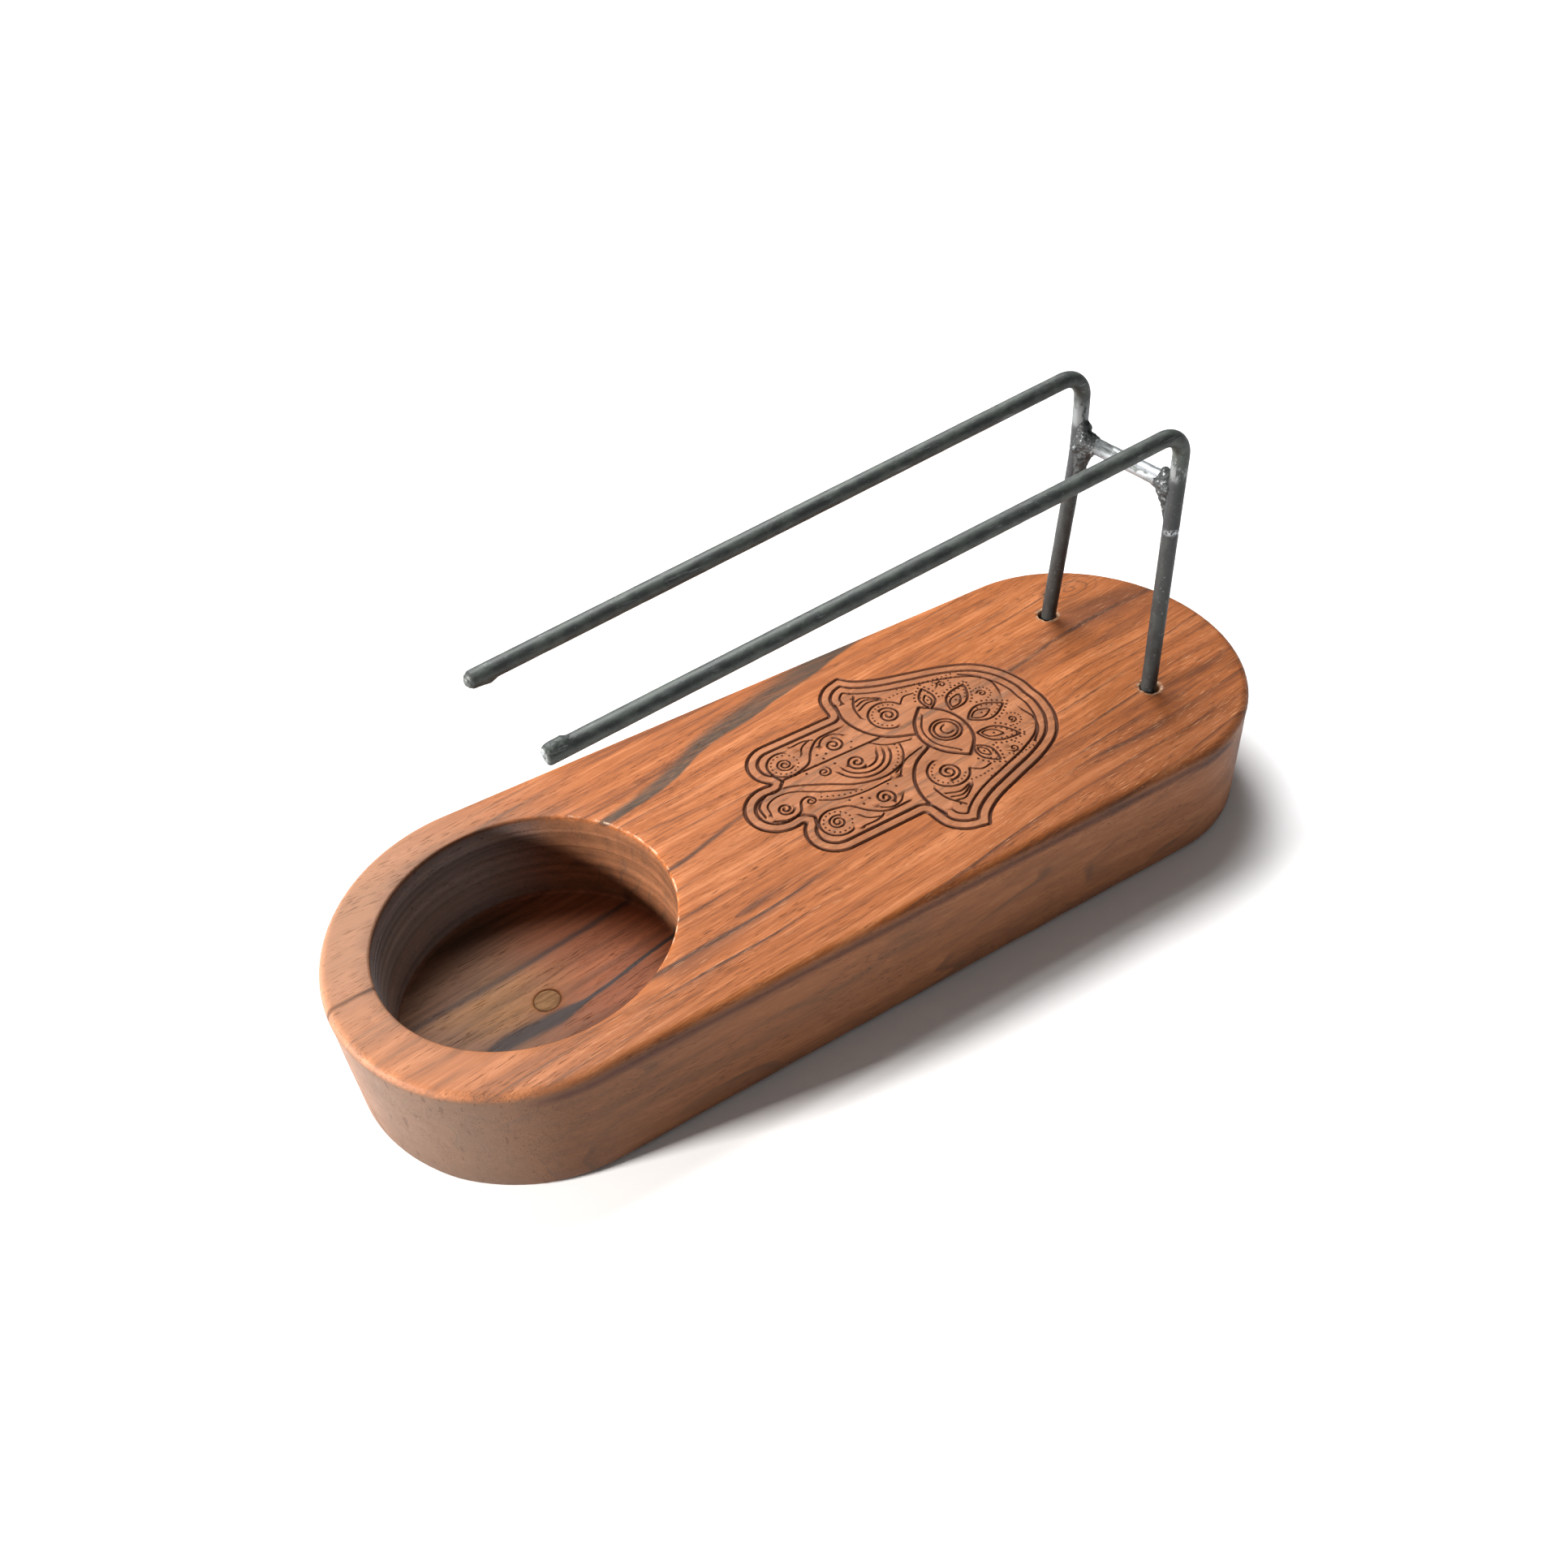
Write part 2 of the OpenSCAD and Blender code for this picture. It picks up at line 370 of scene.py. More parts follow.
def thumb_ornament():
    core = (20.6, 9.0)
    bend(BOLD, [(14.0, 17.4), (13.0, 12.6), (14.2, 7.6), (17.2, 3.8), (21.4, 1.6)], mirror=True)
    bend(HAIR, [(13.2, 4.6), (15.6, 2.2), (19.8, 0.9)], mirror=True)
    cut(spiral(*core, 0.35, 2.2, 140, 1.9), FINE, mirror=True)
    prick_along(arc(*core, 3.05, 40, 250), 0.95, mirror=True)
    cut(arc(*core, 3.85, 20, 262), FINE, mirror=True)
    bend(HAIR, [(24.2, 10.3), (26.0, 11.8), (28.2, 11.6)], mirror=True)
    bend(FINE, [(15.9, 11.2), (16.4, 14.4), (18.2, 17.4)], mirror=True)
    for reach in (0.0, 1.3, 2.5):
        bend(HAIR, [(16.8 + 0.25 * reach, 13.3 + reach), (19.3, 14.3 + 0.7 * reach),
                (21.6 + 0.2 * reach, 13.7 + 0.2 * reach)], mirror=True)
    prick_along(smooth_curve([(22.8, 13.0), (25.0, 13.2), (27.4, 12.9)]), 0.95, mirror=True)
    prick([(17.4, 17.0), (18.2, 18.4)], mirror=True)


# The third line of the outline runs only round the palm, on the wrist's side of this
PALM_FROM_X = 15.4


def breaks(points):
    """Where a row of points jumps by more than 1 mm."""
    return np.where(np.linalg.norm(np.diff(points, axis=0), axis=1) > 1.0)[0] + 1


def lay_out_ornament():
    """Cuts every stroke and dot of the ornament, and returns the hand's outline."""
    outline = hand_outline()
    cut(outline, BOLD, closed=True)
    cut(inset(outline, 1.95), BOLD, closed=True)
    inner = resample(inset(outline, 3.75), 0.2, closed=True)
    inner = inner[inner[:, 0] > PALM_FROM_X]
    inner = np.roll(inner, -breaks(inner)[0], 0)
    for part in np.split(inner, breaks(inner)):
        if len(part) > 8:
            cut(part, FINE)
    side_finger_ornament()
    middle_finger_ornament()
    eye_ornament()
    lotus_ornament()
    thumb_ornament()
    return outline


outline_of_hand = lay_out_ornament()


# ---------------------------------------------------------------- the block

class GrooveField:
    """Depth and burn of the engraved grooves at any point of the top.

    A point's distance from the nearest groove is counted in that groove's half widths."""

    def __init__(self):
        self.samples = []  # (x, y, half width) along every groove, and every dot
        for points, half_width, closed in strokes:
            for x, y in resample(points, 0.1, closed):
                wobble = 1 + 0.16 * noise.noise(Vector((x * 1.7, y * 1.7, 3.0)))
                self.samples.append((x, y, half_width * wobble))
        self.samples += dots
        self.tree = plan_tree(self.samples)

    def at(self, x, y):
        """(depth in mm, how burnt from 0 to 1)."""
        best = 9.0
        width = FINE
        for _, index, gap in self.tree.find_n((x, y, 0), 4):
            reach = gap / self.samples[index][2]
            if reach < best:
                best, width = reach, self.samples[index][2]
        depth = GROOVE_DEPTH * min(1.0, 0.45 + width / BOLD * 0.55) * (1 - smoothstep(0.35, 1.05, best))
        return depth, 1 - smoothstep(0.75, 1.5, best)


def groove_points():
    """Points of the top that follow each groove's bottom, walls and edges."""
    rows = (0.0, -0.55, 0.55, -1.02, 1.02, -1.5, 1.5)
    found = []
    for points, half_width, closed in strokes:
        ahead = np.gradient(points, axis=0)
        if closed:
            ahead = np.roll(points, -1, 0) - np.roll(points, 1, 0)
        normal = sideways(ahead)
        for row in rows:
            found.append(points + normal * row * half_width)
    for x, y, radius in dots:
        found.append(np.array([[x, y]]))
        for reach, count in ((0.5, 5), (1.0, 9), (1.5, 9)):
            found.append(circle_ring(x, y, reach * radius, count))
    return np.vstack(found)


def thin_out(points, cell):
    """Drops points that share a small square cell with one before them."""
    keys = np.round(points / cell).astype(int)
    _, first = np.unique(keys, axis=0, return_index=True)
    return points[np.sort(first)]


def plan_ring(inset_mm, end_steps=56, side_steps=44):
    """Plan outline of the block, anticlockwise, as an array of points."""
    half = HALF_WIDTH - inset_mm
    wire_x = HALF_LENGTH - WIRE_END_DEPTH
    pocket_x = HALF_LENGTH - POCKET_END_DEPTH
    a = np.radians(np.linspace(-90, 90, end_steps, endpoint=False))
    wire_end = np.stack([wire_x + (WIRE_END_DEPTH - inset_mm) * np.cos(a), half * np.sin(a)], 1)
    pocket_end = np.stack([-pocket_x - (POCKET_END_DEPTH - inset_mm) * np.cos(a), -half * np.sin(a)], 1)
    t = np.linspace(0, 1, side_steps, endpoint=False)[:, None]
    far_side = np.array([wire_x, half]) * (1 - t) + np.array([-pocket_x, half]) * t
    near_side = np.array([-pocket_x, -half]) * (1 - t) + np.array([wire_x, -half]) * t
    return np.vstack([wire_end, far_side, pocket_end, near_side])


def torn_ring(cx, cy, radius, count, seed):
    """The ragged rim of a drilled hole."""
    a = np.arange(count) * TAU / count
    bumps = [noise.noise(Vector((2.3 * math.cos(t), 2.3 * math.sin(t), seed))) for t in a]
    return circle_ring(cx, cy, radius * (1.07 + 0.16 * np.array(bumps)), count)


class Shell:
    """Collects a body's points and faces, ring by ring."""

    def __init__(self):
        self.verts = []
        self.faces = []
        self.last = []

    def ring(self, plan, z):
        """Adds a ring of points at one height, or at one height per point."""
        heights = np.broadcast_to(z, len(plan))
        first = len(self.verts)
        self.verts += [(p[0], p[1], h) for p, h in zip(plan, heights)]
        return list(range(first, len(self.verts)))

    def grow(self, plan, z):
        """Adds a ring and the faces between the last ring and it."""
        ring = self.ring(plan, z)
        self.faces += bridge(self.last, ring)
        self.last = ring


def uneven(plan, z, amount, scale):
    """Moves a ring of points a little inwards, as hand sanding does."""
    out = plan / np.linalg.norm(plan, axis=1)[:, None]
    bumps = [noise.noise(Vector((x * scale, y * scale, z * scale * 2))) for x, y in plan]
    push = [amount * (0.5 + 0.5 * b) for b in bumps]
    return plan - out * np.array(push)[:, None]


GRID_STEP = 2.6
GROOVE_CELL = 0.085
GROOVE_CLEARANCE = 0.7
COLLAR_RADII = (2.7, 3.6)
POCKET_SIDES = 160
HOLE_SIDES = 40


def top_face(shell, field):
    """Triangulates the engraved top between its outline, the pocket and the leg holes."""
    outer = plan_ring(TOP_ROUND)
    pocket = circle_ring(POCKET_X, 0, RIM_RADIUS, POCKET_SIDES)
    near_hole = torn_ring(*NEAR_HOLE, HOLE_RADIUS, HOLE_SIDES, 1.0)
    far_hole = torn_ring(*FAR_HOLE, HOLE_RADIUS, HOLE_SIDES, 5.0)
    rings = [outer, pocket, near_hole, far_hole]
    xs, ys = np.meshgrid(np.arange(-90, 90, GRID_STEP), np.arange(-33, 33, GRID_STEP))
    grid = np.stack([xs.ravel() + 0.6 * np.sin(ys.ravel()), ys.ravel()], 1)
    collar = [circle_ring(*hole, r, 30) for hole in (NEAR_HOLE, FAR_HOLE) for r in COLLAR_RADII]
    engraved = thin_out(groove_points(), GROOVE_CELL)
    near_groove = plan_tree(engraved)
    grid = np.array([p for p in grid if near_groove.find((p[0], p[1], 0))[2] > GROOVE_CLEARANCE])
    loose = np.vstack([engraved, grid, *collar])
    span = WIRE_END_DEPTH, POCKET_END_DEPTH
    past_end = np.where(loose[:, 0] > 0, (loose[:, 0] - HALF_LENGTH + span[0]) / (span[0] - TOP_ROUND),
                        (-loose[:, 0] - HALF_LENGTH + span[1]) / (span[1] - TOP_ROUND))
    inside = np.hypot(np.maximum(past_end, 0), loose[:, 1] / (HALF_WIDTH - TOP_ROUND)) < 0.985
    inside &= np.hypot(loose[:, 0] - POCKET_X, loose[:, 1]) > POCKET_RADIUS + 0.9
    for hole in (NEAR_HOLE, FAR_HOLE):
        inside &= np.hypot(loose[:, 0] - hole[0], loose[:, 1] - hole[1]) > HOLE_RADIUS * 1.32
    flat = np.vstack([*rings, loose[inside]])
    edges = []
    starts = np.cumsum([0] + [len(r) for r in rings])
    for first, ring in zip(starts, rings):
        n = len(ring)
        edges += [(int(first + i), int(first + (i + 1) % n)) for i in range(n)]
    points, _, triangles, origin, _, _ = delaunay_2d_cdt([Vector(p) for p in flat], edges, [], 0, 1e-6)
    place = {}
    for new, old in enumerate(origin):
        for o in old:
            place[o] = new
    for p in points:
        depth, _ = field.at(p.x, p.y)
        shell.verts.append((p.x, p.y, BLOCK_TOP - depth))
    hole_radius = HOLE_RADIUS * 1.02
    # Triangles that fill the pocket or a leg hole are left out
    holes = ((POCKET_X, 0, RIM_RADIUS), (*NEAR_HOLE, hole_radius), (*FAR_HOLE, hole_radius))
    placed = [[place[int(first) + i] for i in range(len(ring))] for first, ring in zip(starts, rings)]
    hole_members = [set(ring) for ring in placed[1:]]
    for triangle in triangles:
        cx = sum(points[i].x for i in triangle) / 3
        cy = sum(points[i].y for i in triangle) / 3
        in_hole = any(math.hypot(cx - x, cy - y) < r for x, y, r in holes)
        in_hole = in_hole or any(all(i in members for i in triangle) for members in hole_members)
        if not in_hole:
            shell.faces.append(tuple(triangle))
    return placed


def outside_wall(shell, top_ring):
    """Rounded top edge, slightly uneven sides, rounded bottom edge and the underside."""
    shell.last = top_ring
    for i in range(1, 8):
        a = math.radians(90 * i / 7)
        plan = plan_ring(TOP_ROUND * (1 - math.sin(a)))
        z = BLOCK_TOP - TOP_ROUND * (1 - math.cos(a))
        shell.grow(uneven(plan, z, 0.10 * i / 7, 0.05), z)
    for z in np.linspace(BLOCK_TOP - TOP_ROUND, BOTTOM_ROUND, 10)[1:]:
        shell.grow(uneven(plan_ring(0), z, 0.22, 0.05), z)
    for i in range(1, 6):
        a = math.radians(90 * i / 5)
        plan = plan_ring(BOTTOM_ROUND * (1 - math.cos(a)))
        z = BOTTOM_ROUND * (1 - math.sin(a))
        shell.grow(uneven(plan, 0.0, 0.22 + 0.3 * i / 5, 0.16), z)
    shell.faces.append(tuple(reversed(shell.last)))


# Marks of the boring bit: (depth, distance below the top, width) and (depth, from, to)
TOOL_SCORES = ((0.22, 3.4, 0.18), (0.16, 4.6, 0.14), (0.1, 12.2, 0.2))
TOOL_STEPS = ((0.16, 7.4, 7.9), (0.14, 12.6, 13.0))


def pocket_wall(shell, rim_ring):
    """The bored pocket: broken rim, tool rings on the wall, and a floor round the plug."""
    count = len(rim_ring)
    shell.last = rim_ring
    for grow, drop in ((0.12, 0.1), (0.0, 0.4)):
        plan = circle_ring(POCKET_X, 0, POCKET_RADIUS + grow, count)
        shell.grow(plan, BLOCK_TOP - drop)
    depth = BLOCK_TOP - POCKET_FLOOR
    for t in np.linspace(0.03, 0.985, 64):
        d = t * depth
        ring_cut = 0.07 * math.sin(d * 5.2) ** 8
        ring_cut += sum(deep * math.exp(-((d - at) / wide) ** 2) for deep, at, wide in TOOL_SCORES)
        ring_cut += sum(deep * smoothstep(start, end, d) for deep, start, end in TOOL_STEPS)
        plan = circle_ring(POCKET_X, 0, POCKET_RADIUS + ring_cut, count)
        shell.grow(plan, BLOCK_TOP - d)
    floor_radii = np.linspace(23, PLUG_RADIUS + 0.35, 22)
    for radius in (POCKET_RADIUS, POCKET_RADIUS - 0.25, *floor_radii, PLUG_RADIUS):
        plan = circle_ring(POCKET_X, 0, radius, count)
        ripple = [POCKET_FLOOR + 0.04 * noise.noise(Vector((x * 0.3, y * 0.5, 0.0))) for x, y in plan]
        if radius <= PLUG_RADIUS + 0.4:
            ripple = POCKET_FLOOR - (0.12 if radius == PLUG_RADIUS else 0.0)
        shell.grow(plan, ripple)
    shell.grow(circle_ring(POCKET_X, 0, PLUG_RADIUS, count), PLUG_BOTTOM)
    shell.faces.append(tuple(shell.last))


def leg_hole_wall(shell, rim_ring, hole):
    count = len(rim_ring)
    shell.last = rim_ring
    for drop in (0.35, 1.2, HOLE_DEPTH):
        shell.grow(circle_ring(*hole, HOLE_RADIUS, count), BLOCK_TOP - drop)
    shell.faces.append(tuple(shell.last))


def inside_hand(x, y):
    """Whether points lie inside the hand's outline, by counting crossings."""
    p = outline_of_hand
    q = np.roll(p, -1, 0)
    crosses = (p[:, 1, None] > y) != (q[:, 1, None] > y)
    rise = np.where(np.abs(q[:, 1] - p[:, 1]) < 1e-9, 1e-9, q[:, 1] - p[:, 1])
    at_x = (q[:, 0] - p[:, 0])[:, None] * (y - p[:, 1, None]) / rise[:, None] + p[:, 0, None]
    return (crosses & (x < at_x)).sum(0) % 2 == 1


def make_block():
    field = GrooveField()
    shell = Shell()
    outer, pocket, near_hole, far_hole = top_face(shell, field)
    outside_wall(shell, outer)
    pocket_wall(shell, pocket)
    leg_hole_wall(shell, near_hole, NEAR_HOLE)
    leg_hole_wall(shell, far_hole, FAR_HOLE)
    block = mesh_object("carved_block", shell.verts, shell.faces)
    co = np.array([v.co for v in block.data.vertices]) / MM
    on_top = co[:, 2] > BLOCK_TOP - 0.75
    engraved = on_top & (np.abs(co[:, 0] - 16) < 34) & (np.abs(co[:, 1]) < 27)
    burn = np.zeros(len(co))
    burn[engraved] = [field.at(x, y)[1] for x, y in co[engraved, :2]]
    hand = np.zeros(len(co))
    hand[engraved] = inside_hand(co[engraved, 0], co[engraved, 1])
    torn = np.zeros(len(co))
    for hole in (NEAR_HOLE, FAR_HOLE):
        gap = np.hypot(co[:, 0] - hole[0], co[:, 1] - hole[1])
        torn = np.maximum(torn, (1 - smoothstep(1.95, 2.8, gap)) * (co[:, 2] > BLOCK_TOP - 0.6))
    for name, values in (("burn", burn), ("hand", hand), ("torn", torn)):
        layer = block.data.attributes.new(name, "FLOAT", "POINT")
        layer.data.foreach_set("value", values.astype(np.float32))
    return block


block = make_block()
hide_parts("base_block")
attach(block, "block")


# ---------------------------------------------------------------- the floor plug

def make_plug():
    """A short dowel, its end grain slightly sunk and chamfered."""
    shell = Shell()
    profile = [
        (PLUG_RADIUS, PLUG_BOTTOM), (PLUG_RADIUS, PLUG_BOTTOM + 1.5),
        (PLUG_RADIUS - 0.02, POCKET_FLOOR - 0.3), (PLUG_RADIUS - 0.22, POCKET_FLOOR - 0.06),
        (PLUG_RADIUS - 0.5, POCKET_FLOOR), (1.2, POCKET_FLOOR - 0.03), (0.5, POCKET_FLOOR - 0.05),
    ]
    rings = [shell.ring(circle_ring(POCKET_X, 0, radius, 48), z) for radius, z in profile]
    return mesh_object("dowel_plug", shell.verts, stacked_rings(rings))


plug = make_plug()
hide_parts("floor_plug")
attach(plug, "block")


# ---------------------------------------------------------------- the wires

WIRE_RADIUS = 1.5
BEND_RADIUS = 4.5
WIRE_SIDES = 28

near_low, near_high = box_mm("near_rod")
far_low, far_high = box_mm("far_rod")
bar_low, bar_high = box_mm("cross_bar")
NEAR_SLOPE = math.radians(5.8)
FAR_SLOPE = math.radians(6.9)
NEAR_X = near_high[0] - WIRE_RADIUS
NEAR_Y = near_high[1] - WIRE_RADIUS
FAR_X = far_high[0] - WIRE_RADIUS
FAR_UPPER_Y = far_low[1] + WIRE_RADIUS
FAR_FOOT_Y = far_high[1] - WIRE_RADIUS
LEAN_LOW_Z = BLOCK_TOP - 0.5
LEAN_HIGH_Z = 63.5
NEAR_CORNER_Z = 78.5
FAR_CORNER_Z = 79.5
NEAR_ARM = 117.2
FAR_ARM = 119.0
PATH_STEP = 1.1
SOFTENINGS = 12


def bent_path(leg, corner, slope, arm):
    """Centre line from the foot, up the leg, round the bend and along the sloping arm."""
    tangent = BEND_RADIUS * math.tan((math.pi / 2 + slope) / 2)
    along = Vector((-math.cos(slope), 0, -math.sin(slope)))
    before = corner - Vector((0, 0, tangent))
    centre = before + Vector((-BEND_RADIUS, 0, 0))
    path = []
    stops = [Vector(p) for p in leg] + [before]
    for a, b in zip(stops, stops[1:]):
        steps = max(2, round((b - a).length / PATH_STEP))
        path += [a.lerp(b, i / steps) for i in range(steps)]
    for _ in range(SOFTENINGS):
        path[1:-1] = [(a + 2 * b + c) / 4 for a, b, c in zip(path, path[1:], path[2:])]
    turn = math.pi / 2 + slope
    for i in range(17):
        a = turn * i / 16
        path.append(centre + BEND_RADIUS * Vector((math.cos(a), 0, math.sin(a))))
    start = path[-1]
    length = arm - tangent
    steps = round(length / PATH_STEP)
    path += [start + along * (length * i / steps) for i in range(1, steps + 1)]
    return path


def tube_mesh(name, sections, across, inward, notch=None):
    """A closed round wire. sections are (centre, direction, scale); across starts each ring.

    inward(point, out) is how far the surface lies inside the wire's nominal radius. notch,
    if given, is (tip, ahead, depth, height): see bite."""
    verts, rings = [], []
    for centre, direction, scale in sections:
        up = direction.cross(across).normalized()
        side = up.cross(direction).normalized()
        rings.append(list(range(len(verts), len(verts) + WIRE_SIDES)))
        for k in range(WIRE_SIDES):
            a = TAU * k / WIRE_SIDES
            out = side * math.cos(a) + up * math.sin(a)
            gap = inward(centre + out * WIRE_RADIUS, out)
            verts.append(centre + out * (WIRE_RADIUS - gap) * scale)
    if notch:
        verts = [bite(v, *notch) for v in verts]
    return mesh_object(name, verts, stacked_rings(rings))


def wire_mesh(name, path, seed, end_round, notch=None):
    """A round wire along path, a little rough, with a rounded free end.

    notch, if given, is (depth, height) of the bite in the free end."""

    def rough(here, _):
        swell = noise.noise(Vector((here.x * 0.35, here.y * 1.3 + seed, here.z * 0.35)))
        pit = noise.noise(Vector((here.x * 1.2, here.y * 1.6, here.z * 1.2 + seed)))
        return 0.035 * (0.5 + 0.5 * swell) + 0.03 * max(0.0, pit)

    steps = zip(path[:1] + path, path, path[1:] + path[-1:])
    sections = [(p, (after - before).normalized(), 1.0) for before, p, after in steps]
    tip, ahead, _ = sections.pop()
    for i in range(7):
        a = math.radians(90 * i / 6.6)
        pulled_in = end_round * (1 - math.sin(a))
        scale = 1 - end_round / WIRE_RADIUS * (1 - math.cos(a))
        sections.append((tip - ahead * pulled_in, ahead, scale))
    return tube_mesh(name, sections, Vector((0, 1, 0)), rough, notch and (tip, ahead, *notch))


def bite(v, tip, ahead, depth, height):
    """Pushes the points near the free end's upper edge inwards, as cutters leave it."""
    gap = (v - (tip + Vector((0, 0, height)))).length
    return v - ahead * depth * (1 - smoothstep(0.2, 1.1, gap))


def make_wires():
    near_foot = Vector((NEAR_X, NEAR_Y, near_low[2]))
    far_foot = Vector((FAR_X, FAR_FOOT_Y, far_low[2]))
    far_knee = Vector((FAR_X, FAR_FOOT_Y, LEAN_LOW_Z))
    far_shoulder = Vector((FAR_X, FAR_UPPER_Y, LEAN_HIGH_Z))
    near_corner = Vector((NEAR_X, NEAR_Y, NEAR_CORNER_Z))
    far_corner = Vector((FAR_X, FAR_UPPER_Y, FAR_CORNER_Z))
    near_path = bent_path([near_foot], near_corner, NEAR_SLOPE, NEAR_ARM)
    far_path = bent_path([far_foot, far_knee, far_shoulder], far_corner, FAR_SLOPE, FAR_ARM)
    near = wire_mesh("near_wire", near_path, seed=2.0, end_round=0.75, notch=(0.8, 0.35))
    far = wire_mesh("far_wire", far_path, seed=9.0, end_round=1.0)
    for wire, node in ((near, "near_rod"), (far, "far_rod")):
        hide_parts(node)
        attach(wire, "wire_rest")
    return near, far, near_path[-1], far_path[-1]


near_wire, far_wire, near_tip, far_tip = make_wires()


def make_cross_bar():
    """The short wire welded across between the two legs, ground bright in places."""
    a = Vector((NEAR_X, bar_low[1] + 0.4, 67.5))
    b = Vector((FAR_X, bar_high[1] - 0.4, 66.5))

    def ground(here, out):
        return 0.02 + 0.1 * max(0.0, noise.noise(here * 0.8) + 0.1) * max(0.0, out.z)

    sections = [(a.lerp(b, i / 40), (b - a).normalized(), 1.0) for i in range(41)]
    bar = tube_mesh("scraped_bar", sections, Vector((1, 0, 0)), ground)
    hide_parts("cross_bar")
    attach(bar, "wire_rest")
    return bar


cross_bar = make_cross_bar()


# ---------------------------------------------------------------- welds and tip drops

def lump_mesh(name, lumps, voxel, rough, seed):
    """Rods (centre a, centre b, radius a, radius b) melted into one rough surface."""
    bm = bmesh.new()
    for a, b, radius_a, radius_b in lumps:
        a, b = Vector(a), Vector(b)
        steps = max(1, round((b - a).length / (0.35 * min(radius_a, radius_b))))
        for i in range(steps + 1):
            t = i / steps
            place = Matrix.Translation(a.lerp(b, t) * MM)
            radius = (radius_a * (1 - t) + radius_b * t) * MM
            bmesh.ops.create_icosphere(bm, subdivisions=2, radius=radius, matrix=place)
    mesh = bpy.data.meshes.new(name + "_rough")
    bm.to_mesh(mesh)
    bm.free()
    source = new_object(name + "_rough", mesh)
    remesh = source.modifiers.new("melt", "REMESH")
    remesh.mode = "VOXEL"
    remesh.voxel_size = voxel * MM
    soften = source.modifiers.new("soften", "SMOOTH")
    soften.iterations = 5
    soften.factor = 0.5
    melted = source.evaluated_get(bpy.context.evaluated_depsgraph_get()).to_mesh()
    verts = [v.co / MM for v in melted.vertices]
    normals = [v.normal.copy() for v in melted.vertices]
    faces = [tuple(p.vertices) for p in melted.polygons]
    source.to_mesh_clear()
    bpy.data.objects.remove(source)
    moved = []
    for v, normal in zip(verts, normals):
        ripple = noise.noise(v * 1.1 + Vector((seed, 0, 0)))
        ripple += 0.6 * noise.noise(v * 2.6 + Vector((0, seed, 0)))
        moved.append(v + normal * rough * (ripple - 0.35))
    return mesh_object(name, moved, faces)


# Rods of weld metal: across and up at one end, the same at the other, and the two radii
NEAR_WELD = (
    (-11.9, 60.8, -11.4, 63.5, 0.9, 1.25),
    (-11.4, 63.5, -10.6, 66.5, 1.25, 2.0),
    (-10.5, 67.3, -8.3, 67.1, 2.05, 1.6),
    (-10.6, 68.6, -9.9, 69.2, 1.1, 0.95),
)
FAR_WELD = (
    (11.0, 59.2, 10.2, 63.4, 1.15, 1.7),
    (9.9, 62.6, 8.6, 65.6, 1.2, 1.6),
    (9.4, 66.6, 6.6, 66.6, 2.1, 1.6),
    (10.2, 66.8, 10.3, 69.2, 1.9, 1.35),
)


def weld_lumps(x, rods):
    return [((x, y0, z0), (x, y1, z1), r0, r1) for y0, z0, y1, z1, r0, r1 in rods]


def make_welds():
    near_lumps = weld_lumps(NEAR_X, NEAR_WELD)
    near_lumps.append(((NEAR_X - 0.5, -11.6, 66.8), (NEAR_X + 0.5, -11.6, 67.2), 1.5, 1.5))
    far_lumps = weld_lumps(FAR_X, FAR_WELD)
    far_lumps.append(((FAR_X - 0.7, 10.9, 65.2), (FAR_X + 0.7, 10.9, 67.0), 1.5, 1.4))
    near = lump_mesh("near_weld", near_lumps, voxel=0.15, rough=0.16, seed=4.0)
    far = lump_mesh("far_weld", far_lumps, voxel=0.16, rough=0.24, seed=11.0)
    for weld, node in ((near, "near_weld_bead"), (far, "far_weld_bead")):
        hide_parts(node)
        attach(weld, "wire_rest")
    return near, far


near_weld, far_weld = make_welds()


def drop_lumps(tip, slope, stops):
    """Rods between stops of (distance back from the tip, height over the wire's middle, radius)."""
    along = Vector((-math.cos(slope), 0, -math.sin(slope)))
    up = Vector((-math.sin(slope), 0, math.cos(slope)))
    places = [(tip - along * back + up * height, radius) for back, height, radius in stops]
    return [(a, b, radius_a, radius_b) for (a, radius_a), (b, radius_b) in zip(places, places[1:])]


def make_tip_drops():
    """The drop of melted metal on top of the near wire's end, and the one under the far wire's."""
    near_lumps = drop_lumps(near_tip, NEAR_SLOPE, ((4.6, 0.45, 1.0), (3.0, 0.78, 1.32), (1.1, 0.72, 1.3)))
    far_lumps = drop_lumps(far_tip, FAR_SLOPE, ((5.0, -0.3, 1.15), (3.2, -0.62, 1.42), (0.95, -0.1, 1.5)))
    near = lump_mesh("near_tip_drop", near_lumps, voxel=0.11, rough=0.07, seed=21.0)
    far = lump_mesh("far_tip_drop", far_lumps, voxel=0.12, rough=0.05, seed=27.0)
    for drop, node in ((near, "near_tip_bead"), (far, "far_tip_bead")):
        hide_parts(node)
        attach(drop, "wire_rest")
    return near, far


near_drop, far_drop = make_tip_drops()


# ---------------------------------------------------------------- material helpers

class Term:
    """A node's output that can be added, subtracted, multiplied and divided like a number."""

    __array_ufunc__ = None  # lets numpy's numbers leave the sums to this class

    def __init__(self, graph, socket):
        self.graph = graph
        self.socket = socket

    def __add__(self, other):
        return self.graph.math("ADD", self, other)

    def __sub__(self, other):
        return self.graph.math("SUBTRACT", self, other)

    def __rsub__(self, other):
        return self.graph.math("SUBTRACT", other, self)

    def __mul__(self, other):
        return self.graph.math("MULTIPLY", self, other)

    def __truediv__(self, other):
        return self.graph.math("DIVIDE", self, other)

    def __abs__(self):
        return self.graph.math("ABSOLUTE", self)


